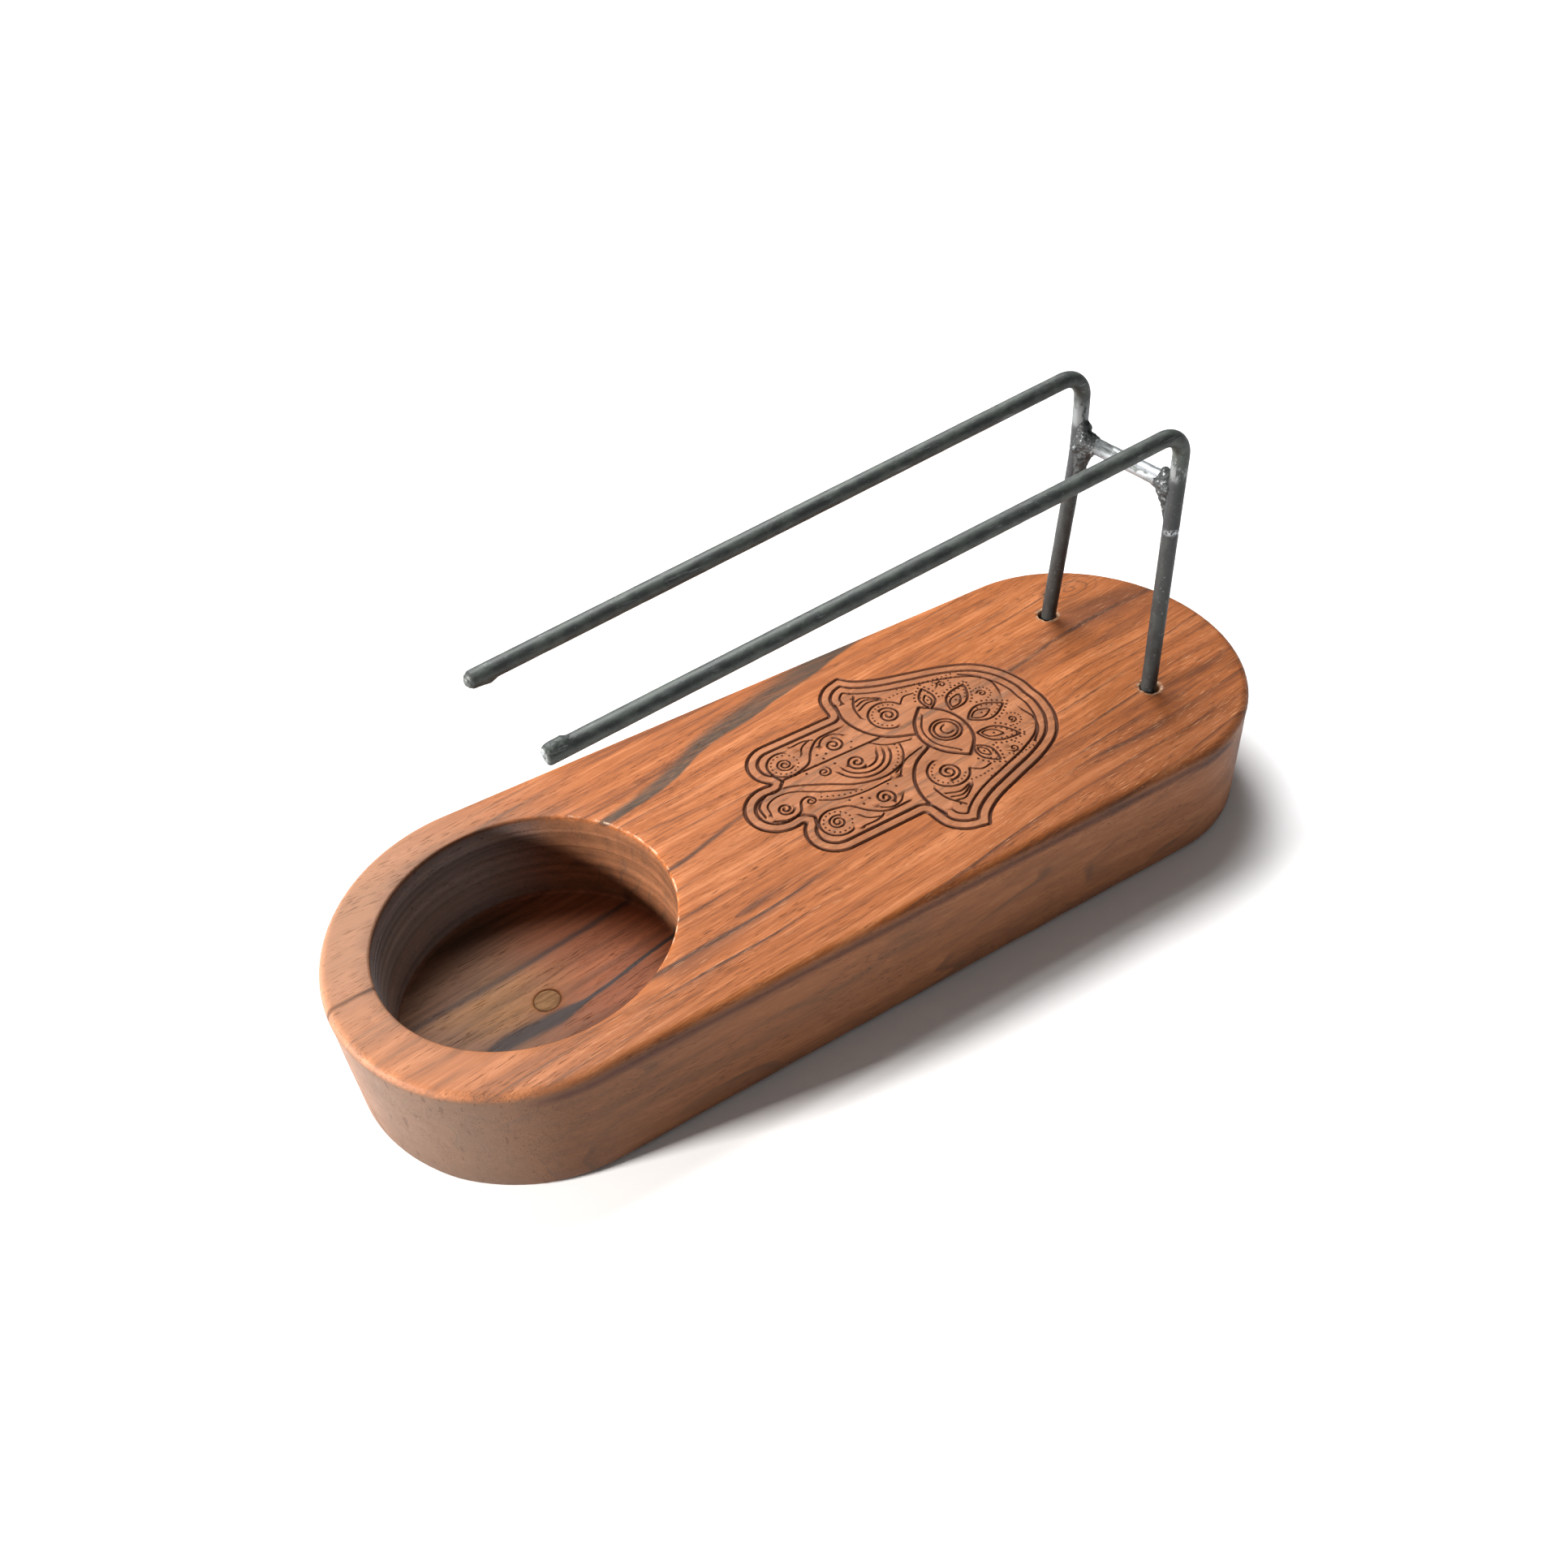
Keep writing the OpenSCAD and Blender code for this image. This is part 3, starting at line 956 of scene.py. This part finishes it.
class Graph:
    """Builds one material's nodes from small expressions, in millimetres of the object's own frame."""

    def __init__(self, name):
        self.material = bpy.data.materials.new(name)
        self.material.use_nodes = True
        self.tree = self.material.node_tree
        self.shader = self.tree.nodes["Principled BSDF"]
        place = self.node("TexCoord").outputs["Object"]
        split = self.node("SeparateXYZ", place)
        self.colour = self.along = self.across = None
        self.x, self.y, self.z = (Term(self, socket) * (1 / MM) for socket in split.outputs)

    def node(self, kind, *values, **settings):
        """A new node with its properties set and its first inputs filled from values."""
        node = self.tree.nodes.new("ShaderNode" + kind)
        for name, setting in settings.items():
            setattr(node, name, setting)
        for value, socket in zip(values, node.inputs):
            self.put(value, socket)
        return node

    def put(self, value, socket):
        """Sets a socket to a number or colour, or links a node's output to it."""
        if isinstance(value, Term):
            value = value.socket
        if isinstance(value, bpy.types.NodeSocket):
            self.tree.links.new(value, socket)
        elif isinstance(value, tuple) and len(value) == 3 and socket.type == "RGBA":
            socket.default_value = (*value, 1.0)
        else:
            socket.default_value = value

    def set(self, name, value):
        self.put(value, self.shader.inputs[name])

    def math(self, operation, *values):
        return Term(self, self.node("Math", *values, operation=operation).outputs[0])

    def most(self, a, b):
        return self.math("MAXIMUM", a, b)

    def fract(self, value):
        return self.math("FRACT", value)

    def length(self, a, b):
        return self.math("SQRT", a * a + b * b)

    def rise(self, value, low, high):
        """0 below low, 1 above high, smooth between; falls instead if low is above high."""
        node = self.node("MapRange", value, float(low), float(high), interpolation_type="SMOOTHSTEP")
        return Term(self, node.outputs["Result"])

    def hump(self, value, width):
        """1 where value is 0, falling to 0 at width on both sides."""
        return self.rise(abs(value), width, 0.0)

    def noise(self, x, y, z, sizes, detail=3, rough=0.6, seed=0.0):
        """Noise whose features are about sizes = (along x, y, z) millimetres; mean 0.5."""
        sx, sy, sz = sizes
        place = self.node("CombineXYZ", x * (1 / sx), y * (1 / sy), z * (1 / sz) + seed)
        node = self.node("TexNoise", place.outputs[0])
        node.inputs["Scale"].default_value = 1.0
        node.inputs["Detail"].default_value = detail
        node.inputs["Roughness"].default_value = rough
        return Term(self, node.outputs["Fac"])

    def grain(self, sizes, detail=3, rough=0.6, seed=0.0):
        """Noise along and across the wood's grain."""
        return self.noise(self.along, self.across, self.z, sizes, detail, rough, seed)

    def grit(self, sizes, detail=3, rough=0.6, seed=0.0):
        """Noise in the object's own axes."""
        return self.noise(self.x, self.y, self.z, sizes, detail, rough, seed)

    def scratches(self, sizes, seed, low=0.5, high=0.62):
        """Uneven marks: 1 where that noise is above high, 0 below low."""
        return self.rise(self.grit(sizes, seed=seed), low, high)

    def curve(self, value, points):
        """A smooth curve through (value, result) points, with both in -100 to 100."""
        node = self.node("FloatCurve")
        node.mapping.use_clip = False
        curve = node.mapping.curves[0]
        places = [((x + 100) / 200, (y + 100) / 200) for x, y in points]
        curve.points[0].location = places[0]
        curve.points[1].location = places[-1]
        for place in places[1:-1]:
            curve.points.new(*place)
        node.mapping.update()
        self.put(value * 0.005 + 0.5, node.inputs["Value"])
        return Term(self, node.outputs["Value"]) * 200.0 - 100.0

    def mix(self, factor, a, b):
        node = self.node("Mix", factor, data_type="RGBA")
        self.put(a, node.inputs[6])
        self.put(b, node.inputs[7])
        return Term(self, node.outputs[2])

    def paint(self, factor, colour):
        """Lays a colour over the colour so far, by factor."""
        self.colour = self.mix(factor, self.colour, colour)

    def brighten(self, amount):
        """Multiplies the colour so far by 1 + amount."""
        node = self.node("VectorMath", self.colour, operation="SCALE")
        self.put(amount + 1.0, node.inputs["Scale"])
        self.colour = Term(self, node.outputs[0])

    def attribute(self, name):
        return Term(self, self.node("Attribute", attribute_name=name).outputs["Fac"])

    def bump(self, height, distance):
        node = self.node("Bump")
        node.inputs["Distance"].default_value = distance * MM
        self.put(height, node.inputs["Height"])
        self.put(node.outputs[0], self.shader.inputs["Normal"])


# ---------------------------------------------------------------- wood

GRAIN_TILT = math.radians(6.3)
TAN = (0.285, 0.086, 0.023)
PALE_TAN = (0.42, 0.15, 0.055)
BROWN = (0.125, 0.041, 0.017)
UMBER = (0.055, 0.025, 0.015)
OLIVE_GREY = (0.052, 0.036, 0.025)
# Grey pink of the left end, partly a painted sheen
GREY_PINK_SHEEN = (0.26, 0.145, 0.092)
BURNT = (0.098, 0.037, 0.020)
# Grey of the painted shade on the pocket's walls
POCKET_SHADE_GREY = (0.33, 0.33, 0.34)
RED_FLOOR = (0.28, 0.078, 0.028)
OLIVE_FLOOR = (0.27, 0.125, 0.045)
FLOOR_BAND = (0.045, 0.03, 0.026)
SIDE_TAN = (0.3, 0.15, 0.086)
# Colour of the painted shade on the left end's sides
END_SHADE_GREY = (0.095, 0.062, 0.044)
EDGE_DARK = (0.055, 0.022, 0.02)
HAND_TAN = (0.26, 0.125, 0.068)
FLECK = (0.56, 0.29, 0.15)
# Pale fibres and painted highlight of the pocket's rim
RIM_FIBRE_HIGHLIGHT = (0.6, 0.42, 0.3)
TORN_FIBRE = (0.6, 0.4, 0.26)
END_GRAIN = (0.25, 0.135, 0.062)
END_GRAIN_DARK = (0.16, 0.08, 0.036)
PLUG_RIM = (0.09, 0.045, 0.03)


def follow_grain(g):
    """Turns the graph's grain axes along the grain, with a gentle wave across it."""
    c, s = math.cos(GRAIN_TILT), math.sin(GRAIN_TILT)
    g.along = g.x * c + g.y * s
    g.across = g.y * c - g.x * s
    g.across = (g.grain((70, 22, 30), 2, 0.5, 3.0) - 0.5) * 7.0 + g.across


def grain_tone(g):
    """Overall light and dark of the wood: broad bands, streaks and fibres, about -1 to 1."""
    broad = g.grain((120, 12, 10), 3, 0.55, 1.0) - 0.5
    streak = g.grain((45, 2.6, 2.4), 4, 0.6, 5.0) - 0.5
    fibre = g.grain((9, 0.42, 0.4), 4, 0.65, 9.0) - 0.5
    return broad * 1.6 + streak * 3.1 + fibre * 2.4


def growth_lines(g):
    """Thin dark lines along the grain, unevenly spaced and fading in and out."""
    swing = g.grain((90, 9, 12), 2, 0.5, 13.0)
    phase = g.across * 0.24 + swing * 3.2 + g.z * 0.07
    distance = abs(g.fract(phase) - 0.5)
    line = g.rise(distance, 0.11, 0.0)
    shade_side = g.rise(g.fract(phase + 0.42), 0.35, 1.0)
    strength = g.rise(g.grain((38, 6, 7), seed=17.0), 0.42, 0.66)
    return line * strength, shade_side * strength


def pores(g):
    """Short dark dashes of the open grain."""
    dash = g.grain((2.8, 0.17, 0.17), 2, 0.5, 23.0)
    patch = g.grain((30, 4, 4), 2, 0.5, 29.0)
    return g.rise(dash, 0.6, 0.71) * g.rise(patch, 0.34, 0.6)


def pale_flecks(g):
    """Small light dashes, strongest towards the front edge and the wire end."""
    dash = g.grain((3.4, 0.17, 0.17), seed=31.0)
    where = g.rise(g.y, -8.0, -26.0) + g.rise(g.x, 10.0, 70.0)
    patch = g.rise(g.grain((22, 5, 5), 2, 0.5, 37.0), 0.36, 0.62)
    return g.rise(dash, 0.57, 0.72) * patch * (where * 0.6 + 0.35)


def wavering(g, amount, sizes, seed):
    return (g.grit(sizes, seed=seed) - 0.5) * amount


def olive_streak(g):
    """The dark olive-grey streak that runs from the pocket's far side to the far edge."""
    centre = g.curve(g.x, [(-100, 4.0), (-37, 13.4), (-22, 17.1), (-10.75, 22.1), (0.5, 24.6),
                           (10.5, 27.1), (20.5, 30.2), (60, 40)])
    off = g.y - centre + wavering(g, 1.6, (16, 3, 6), 41.0)
    off = off - (BLOCK_TOP - g.z)
    widen = (g.x + 40.0) * 0.07 + 0.9
    body = g.rise(off, -1.2, -0.6) * g.rise(off / widen, 1.5, 0.4)
    ends = g.rise(g.x, -50.0, -34.0) * g.rise(g.x, 40.0, 22.0)
    worn = g.rise(g.grit((20, 1.2, 4), 4, 0.65, 43.0), 0.3, 0.55)
    return body * ends * (worn * 0.35 + 0.65)


def middle_line(g):
    """(thin dark line, soft brown shading beside it) across the whole block near its middle."""
    centre = g.curve(g.x, [(-90, 0.8), (-82, 1.2), (-57, -1.5), (-32, -2.9), (-22, -0.4),
                           (-15.75, 1.25), (8, 4.0), (46.75, 6.2), (64, 9.4), (87, 10.9)])
    off = g.y - centre + wavering(g, 0.5, (9, 3, 5), 47.0)
    off = off + (BLOCK_TOP - g.z) * 0.35
    worn = g.scratches((14, 8, 5), 49.0, 0.33, 0.55)
    line = g.hump(off, 0.85) * (worn * 0.4 + 0.6)
    halo = g.hump(off, 5.5) * g.rise(g.x, 30.0, 52.0)
    return line, halo


def knot(g):
    """The looping figure round a small knot beside the far leg's hole."""
    far_out = g.length((g.x - 74.0) * 0.16, (g.y - 20.6) * 0.3)
    far_out = far_out + wavering(g, 0.45, (6, 3, 6), 53.0)
    loops = g.rise(abs(g.fract(far_out * 2.3) - 0.5), 0.2, 0.0)
    loops = loops * g.rise(far_out, 1.5, 0.7)
    spot = g.rise(g.length((g.x - 69.25) * 0.55, (g.y - 22.1) * 1.1), 1.0, 0.25)
    return loops * 0.6 + spot


def cloud(g, cx, cy, half_x, half_y, seed):
    """A soft-edged patch with an uneven outline."""
    dx = (g.x - cx) * (1 / half_x)
    dy = (g.y - cy) * (1 / half_y)
    away = g.length(dx, dy) + wavering(g, 0.9, (half_x * 0.6, half_y * 0.6, 8), seed)
    return g.rise(away, 1.15, 0.35)


def pocket_floor_marks(g):
    """The soft stripe and the dark grey band that show on the pocket's floor."""
    low = g.rise(g.z, 9.0, 5.0)
    stripe_at = g.curve(g.x, [(-95, 5.0), (-77.7, 7.4), (-56, 9.5), (-36.6, 12.5), (0, 18)])
    stripe = g.hump(g.y - stripe_at + wavering(g, 0.8, (8, 3, 5), 61.0), 1.3) * 0.75
    band_at = g.curve(g.x, [(-95, -6.0), (-67, -4.6), (-54, -4.2), (-33.5, 0.2), (0, 6)])
    width = g.rise(g.x, -72, -66) * g.rise(g.x, -50.0, -58.0) * 1.3 + 0.45
    off = abs(g.y - band_at + wavering(g, 0.7, (6, 3, 5), 67.0))
    band = g.rise(off / width, 1.3, 0.5)
    return g.most(stripe, band) * low


def from_pocket(g):
    """Distance in plan from the pocket's middle."""
    return g.length(g.x - POCKET_X, g.y)


def inside_pocket(g):
    return g.rise(from_pocket(g), 25.7, 25.1) * g.rise(g.z, 23.7, 22.6)


def pocket_tint_and_shade(g, inside):
    """Painted shade in the pocket: grey on the walls, most on the side away from the wires, and a darker
    floor.
    """
    dx = g.x - POCKET_X
    # Painted shade: grey laid on the walls away from the wires, where the shade falls
    wall = inside * g.rise(g.z, 4.2, 5.2) * g.rise(dx, 15.0, -5.0)
    g.paint(wall * 0.88, POCKET_SHADE_GREY)
    bands = g.grit((90, 90, 1.9), 2, 0.5, 101.0)
    on_wall = inside * g.rise(g.z, 4.2, 5.2)
    g.brighten(on_wall * (bands - 0.53) * 1.9)
    # Painted shade: the lit wall towards the wires is darkened
    g.brighten(on_wall * g.rise(dx, 6.0, 18.0) * -0.3)
    floor = inside * g.rise(g.z, 5.2, 4.2)
    middle = floor * cloud(g, POCKET_X - 2.0, 4.0, 17.0, 7.5, 109.0)
    g.paint(middle * 0.75, OLIVE_FLOOR)
    g.paint(floor * g.rise(dx, -8.0, 10.0) * 0.72, RED_FLOOR)
    figure = g.noise(g.x, g.x * -0.12 + g.y, g.z, (40, 2.4, 4), 4, 0.65, 107.0)
    g.brighten(floor * (figure - 0.5) * 2.2)
    # Painted shade: the whole floor is darkened a little
    g.brighten(floor * -0.14)


def pale_rim_highlight(g):
    """Pale line along the pocket's rim on the side towards the wires: torn light fibres, and a painted
    highlight on the rim's edge.
    """
    towards_wires = g.rise(g.x - POCKET_X, 10.0, 20.0)
    line = g.hump(from_pocket(g) - 25.2, 0.22) * (towards_wires * g.rise(g.z, 22.9, 23.5))
    return line * (g.scratches((1.6, 1.6, 1.6), 103.0, 0.45, 0.62) * 0.6)


def wood_colour(g):
    """Paints the block's wood and returns its (tone, pores, lines)."""
    follow_grain(g)
    tone = grain_tone(g)
    line, line_side = growth_lines(g)
    dashes = pores(g)
    flecks = pale_flecks(g)
    g.colour = g.mix(g.rise(tone, -0.1, 0.85), TAN, PALE_TAN)
    g.paint(g.rise(tone, 0.05, -0.8) * 0.85, BROWN)
    front = g.rise(g.y, 0.0, -22.0)
    g.paint(line_side * (front * 0.5 + 0.35), BROWN)
    g.paint(line * (front * 0.25 + 0.7), UMBER)
    sides = g.rise(g.z, BLOCK_TOP - 0.5, BLOCK_TOP - 1.5)
    # Paler grey pink towards the left end: partly the wood's own tone, partly a painted sheen
    left = g.rise(g.x, -30.0, -80.0) * (g.rise(g.y, -28.0, 14.0) * 0.5 + 0.32)
    g.paint(left, GREY_PINK_SHEEN)
    g.paint(sides * 0.5, SIDE_TAN)
    g.brighten(sides * g.rise(g.x, -15.0, -60.0) * -0.33)
    shaded = g.rise(g.y, -4.0, -30.0) * g.rise(g.x, -10.0, 60.0)
    shaded = g.most(shaded, g.rise(g.x, 58.0, 90.0) * 0.7)
    g.paint(shaded * (sides * -0.45 + 0.45), BROWN)
    # Painted shade: the sides round the left end's front corner are greyed and darkened
    shaded_pitted_end = g.rise(g.x, -62.0, -80.0) * g.rise(g.y, 2.0, -14.0)
    g.paint(sides * shaded_pitted_end * 0.8, END_SHADE_GREY)
    # Painted shade: the sides at the wire end are darkened, least near the bottom
    far_end_shade = g.rise(g.x, 66.0, 84.0) * g.rise(g.z, 3.0, 13.0)
    g.brighten(sides * far_end_shade * -0.58)
    under_edge = g.hump(g.z - 21.6, 1.7) * g.rise(g.y, -30.0, -32.5)
    g.paint(under_edge * 0.7, EDGE_DARK)
    g.paint(cloud(g, 74, 12, 15, 4.2, 71.0) * 0.75, BROWN)
    g.paint(cloud(g, -58, 22, 15, 5.5, 73.0) * 0.35, OLIVE_GREY)
    inside = inside_pocket(g)
    outside = inside * -0.9 + 1.0
    g.paint(olive_streak(g) * outside * 0.95, OLIVE_GREY)
    dark_line, halo = middle_line(g)
    dark_line = dark_line * outside
    g.paint(halo * 0.55, BROWN)
    g.paint(dark_line * 0.92, UMBER)
    g.paint(knot(g) * 0.9, UMBER)
    pocket_tint_and_shade(g, inside)
    g.paint(pocket_floor_marks(g) * inside, FLOOR_BAND)
    pits = g.scratches((1.3, 1.3, 3.0), 75.0, 0.6, 0.68) * (sides * shaded_pitted_end)
    g.paint(pits * 0.6, UMBER)
    g.paint(dashes * 0.75, UMBER)
    g.paint(flecks * (sides * -0.5 + 0.65), FLECK)
    # Torn fibres and a painted highlight along the pocket's rim
    g.paint(pale_rim_highlight(g), RIM_FIBRE_HIGHLIGHT)
    return tone, dashes, line


def engraved_over(g):
    """Dulls the wood inside the hand, browns the grooves' edges and burns the grooves."""
    hand = g.attribute("hand")
    burn = g.attribute("burn")
    smudge = g.grit((5, 3, 5), 4, 0.6, 79.0)
    g.paint(hand * (smudge * 0.5 + 0.2), HAND_TAN)
    ragged = burn - g.grit((0.7, 0.5, 0.5), 2, 0.6, 83.0) * 0.35
    g.paint(g.rise(ragged, 0.05, 0.5) * 0.75, BROWN)
    g.paint(g.rise(ragged, 0.28, 0.72), BURNT)


def make_block_wood():
    g = Graph("block_wood")
    tone, dashes, line = wood_colour(g)
    engraved_over(g)
    torn = g.attribute("torn") * g.scratches((2.2, 0.4, 1), 89.0, 0.38, 0.6)
    g.paint(torn, TORN_FIBRE)
    g.set("Base Color", g.colour)
    g.set("Roughness", tone * -0.06 + 0.52)
    g.set("Specular IOR Level", 0.12)
    fuzz = g.grain((3.0, 0.22, 0.22), seed=97.0)
    height = fuzz * 0.5 + tone * 0.25
    height = height - dashes * 0.9
    g.bump(height - line * 0.25, 0.05)
    return g.material


def make_plug_wood():
    """End grain: pale, with fine pores."""
    g = Graph("plug_wood")
    spots = g.grit((0.25, 0.25, 2), 2, 0.5, 3.0)
    bands = g.grit((3.0, 0.6, 2), seed=7.0)
    g.colour = g.mix(g.rise(bands, 0.35, 0.65), END_GRAIN, END_GRAIN_DARK)
    g.paint(g.rise(spots, 0.55, 0.7) * 0.7, (0.16, 0.08, 0.05))
    rim = from_pocket(g)
    g.paint(g.rise(rim, PLUG_RADIUS - 0.4, PLUG_RADIUS - 0.05) * 0.4, PLUG_RIM)
    g.set("Base Color", g.colour)
    g.set("Roughness", 0.7)
    g.set("Specular IOR Level", 0.05)
    g.bump(spots, 0.04)
    return g.material


# ---------------------------------------------------------------- metal

SCALE_DARK = (0.028, 0.033, 0.031)
SCALE_GREEN = (0.060, 0.070, 0.062)
SPECK = (0.22, 0.22, 0.2)
# Bare metal colour, also laid on as the weld's painted glints
BARE_METAL_AND_GLINT = (0.36, 0.38, 0.40)
SOOT = (0.016, 0.018, 0.020)


def steel_finish(g, scraped, soot=0.0):
    """Dark mill scale with bright bare metal where scraped is 1; on the weld these are painted glints."""
    blotch = g.grit((3.0, 1.2, 2.2), 4, 0.6, 3.0)
    speck = g.grit((0.5, 0.4, 0.4), seed=7.0)
    g.colour = g.mix(g.rise(blotch, 0.36, 0.66), SCALE_DARK, SCALE_GREEN)
    g.paint(g.rise(speck, 0.62, 0.76) * 0.45, SPECK)
    if soot:
        g.paint(soot, SOOT)
    g.paint(scraped, BARE_METAL_AND_GLINT)
    g.set("Base Color", g.colour)
    g.set("Metallic", scraped * 0.7 + 0.2)
    rough = blotch * 0.25 + 0.42
    g.set("Roughness", rough - scraped * 0.1)
    g.bump(blotch * 0.6 + speck * 0.6, 0.05)


def make_dark_wire():
    """Mill scale, scraped lighter on the legs beside the welds and cut clean at the near wire's tip."""
    g = Graph("dark_wire")
    above = g.rise(g.z, 68.6, 70.0) * g.rise(g.z, 76.0, 72.0)
    legs = g.rise(g.x, 60.0, 62.0)
    scraped = above * legs * g.scratches((1.4, 1.4, 2.6), 11.0, 0.46, 0.58) * 0.4
    painted = g.rise(g.z, 57.0, 59.5) * g.rise(g.z, 69.3, 68.0) * 0.25
    painted = (painted + 0.7) * g.rise(g.z, 71.0, 68.0) * legs
    tack = g.hump(g.z - 59.2, 0.9) * legs * g.rise(g.y, -12.0, -14.0)
    tack = tack * g.scratches((0.5, 0.5, 0.5), 13.0, 0.42, 0.52)
    worn = g.scratches((7.0, 0.4, 0.6), 17.0, 0.62, 0.74) * 0.35
    end = g.rise(g.x, -50.8, -51.0) * (g.rise(g.y, 0.0, -2.0) * 0.3)
    steel_finish(g, g.most(g.most(scraped, tack), g.most(worn, end)), painted)
    return g.material


def make_bright_wire():
    """The cross bar: ground bright in patches between darker scale, most on the near half, where the
    brightness is partly a painted highlight.
    """
    g = Graph("bright_wire")
    patches = g.scratches((2.2, 3.4, 1.6), 19.0, 0.40, 0.52)
    lines = g.scratches((0.3, 3.0, 0.3), 23.0, 0.35, 0.6)
    # More bright metal on the near half: ground metal and a painted highlight along the bar
    near_half_highlight = g.rise(g.y, 7.0, 0.0) * 0.5 + 0.35
    steel_finish(g, near_half_highlight * g.most(patches, lines * 0.5))
    return g.material


def make_weld_metal():
    """Sooty weld with a few bright glints."""
    g = Graph("weld_metal")
    # Painted highlights: a few spots of bright metal colour
    glints = g.scratches((0.9, 0.9, 0.9), 29.0, 0.60, 0.68)
    steel_finish(g, glints * 0.6, 0.8)
    return g.material


def dress():
    """Gives every piece and every CAD node the material of its slot."""
    dark = [near_wire, far_wire, near_drop, far_drop]
    rods = ["near_rod", "far_rod", "near_tip_bead", "far_tip_bead"]
    table = (
        (make_block_wood, [block], ["base_block"]),
        (make_plug_wood, [plug], ["floor_plug"]),
        (make_dark_wire, dark, rods),
        (make_bright_wire, [cross_bar], ["cross_bar"]),
        (make_weld_metal, [near_weld, far_weld], ["near_weld_bead", "far_weld_bead"]),
    )
    for make, pieces, nodes in table:
        material = make()
        for thing in pieces + [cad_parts[node] for node in nodes]:
            thing.data.materials.clear()
            thing.data.materials.append(material)


dress()


# ---------------------------------------------------------------- floor and light

FLOOR_HALF = 2500.0
FLOOR_DROP = 0.2
FLOOR_GLOW_FROM = 250.0
FLOOR_GLOW_TO = 1100.0
WALL_RADIUS = 2400.0
WHITE = (1, 1, 1)
WARM = (1.0, 0.97, 0.94)
WORLD_GREY = (0.5, 0.5, 0.5, 1)
WORLD_STRENGTH = 0.35


def stage_piece(g, name, verts, faces, grey, emission):
    """A piece of the studio in millimetres, in plain grey, shining by emission."""
    piece = mesh_object(name, verts, faces)
    g.set("Base Color", (grey, grey, grey))
    g.set("Emission Color", WHITE)
    g.set("Emission Strength", emission)
    piece.data.materials.append(g.material)
    return piece


def make_floor():
    """A pale floor that turns white away from the object."""
    g = Graph("studio_floor")
    g.set("Roughness", 0.9)
    g.set("Specular IOR Level", 0.1)
    glow = g.rise(g.length(g.x, g.y), FLOOR_GLOW_FROM, FLOOR_GLOW_TO) * 0.9
    signs = ((-1, -1), (1, -1), (1, 1), (-1, 1))
    corners = [(x * FLOOR_HALF, y * FLOOR_HALF, -FLOOR_DROP) for x, y in signs]
    stage_piece(g, "studio_floor", corners, [(0, 1, 2, 3)], 0.86, glow)


def make_backdrop():
    """A pale curved wall far behind the object, seen by the camera but casting no light of its own."""
    shell = Shell()
    shell.last = shell.ring(circle_ring(0, 0, WALL_RADIUS, 96), -10.0)
    for z in (1200.0, 3000.0):
        shell.grow(circle_ring(0, 0, WALL_RADIUS, 96), z)
    wall = stage_piece(Graph("studio_backdrop"), "studio_backdrop", shell.verts, shell.faces, 0.8, 0.85)
    wall.visible_diffuse = False
    wall.visible_glossy = False
    wall.visible_shadow = False


LIGHTS_AIM = Vector((0.0, 0.0, 0.02))


def area_light(name, azimuth, elevation, distance, size, power, colour=WHITE):
    """A soft square light that faces the object. azimuth is measured from +X towards +Y."""
    data = bpy.data.lights.new(name, "AREA")
    data.shape = "SQUARE"
    data.size = size
    data.energy = power
    data.color = colour
    lamp = new_object(name, data)
    a, e = math.radians(azimuth), math.radians(elevation)
    back = Vector((math.cos(e) * math.cos(a), math.cos(e) * math.sin(a), math.sin(e)))
    lamp.location = LIGHTS_AIM + distance * back
    lamp.rotation_euler = (-back).to_track_quat("-Z", "Y").to_euler()


def light_the_scene():
    area_light("key", azimuth=171, elevation=16, distance=0.62, size=0.09, power=10.0, colour=WARM)
    area_light("top", azimuth=80, elevation=60, distance=0.9, size=0.45, power=13.5)
    world = bpy.data.worlds.new("studio")
    world.use_nodes = True
    sky = world.node_tree.nodes["Background"]
    sky.inputs["Color"].default_value = WORLD_GREY
    sky.inputs["Strength"].default_value = WORLD_STRENGTH
    bpy.context.scene.world = world
    bpy.context.scene.view_settings.view_transform = "Standard"


make_floor()
make_backdrop()
light_the_scene()
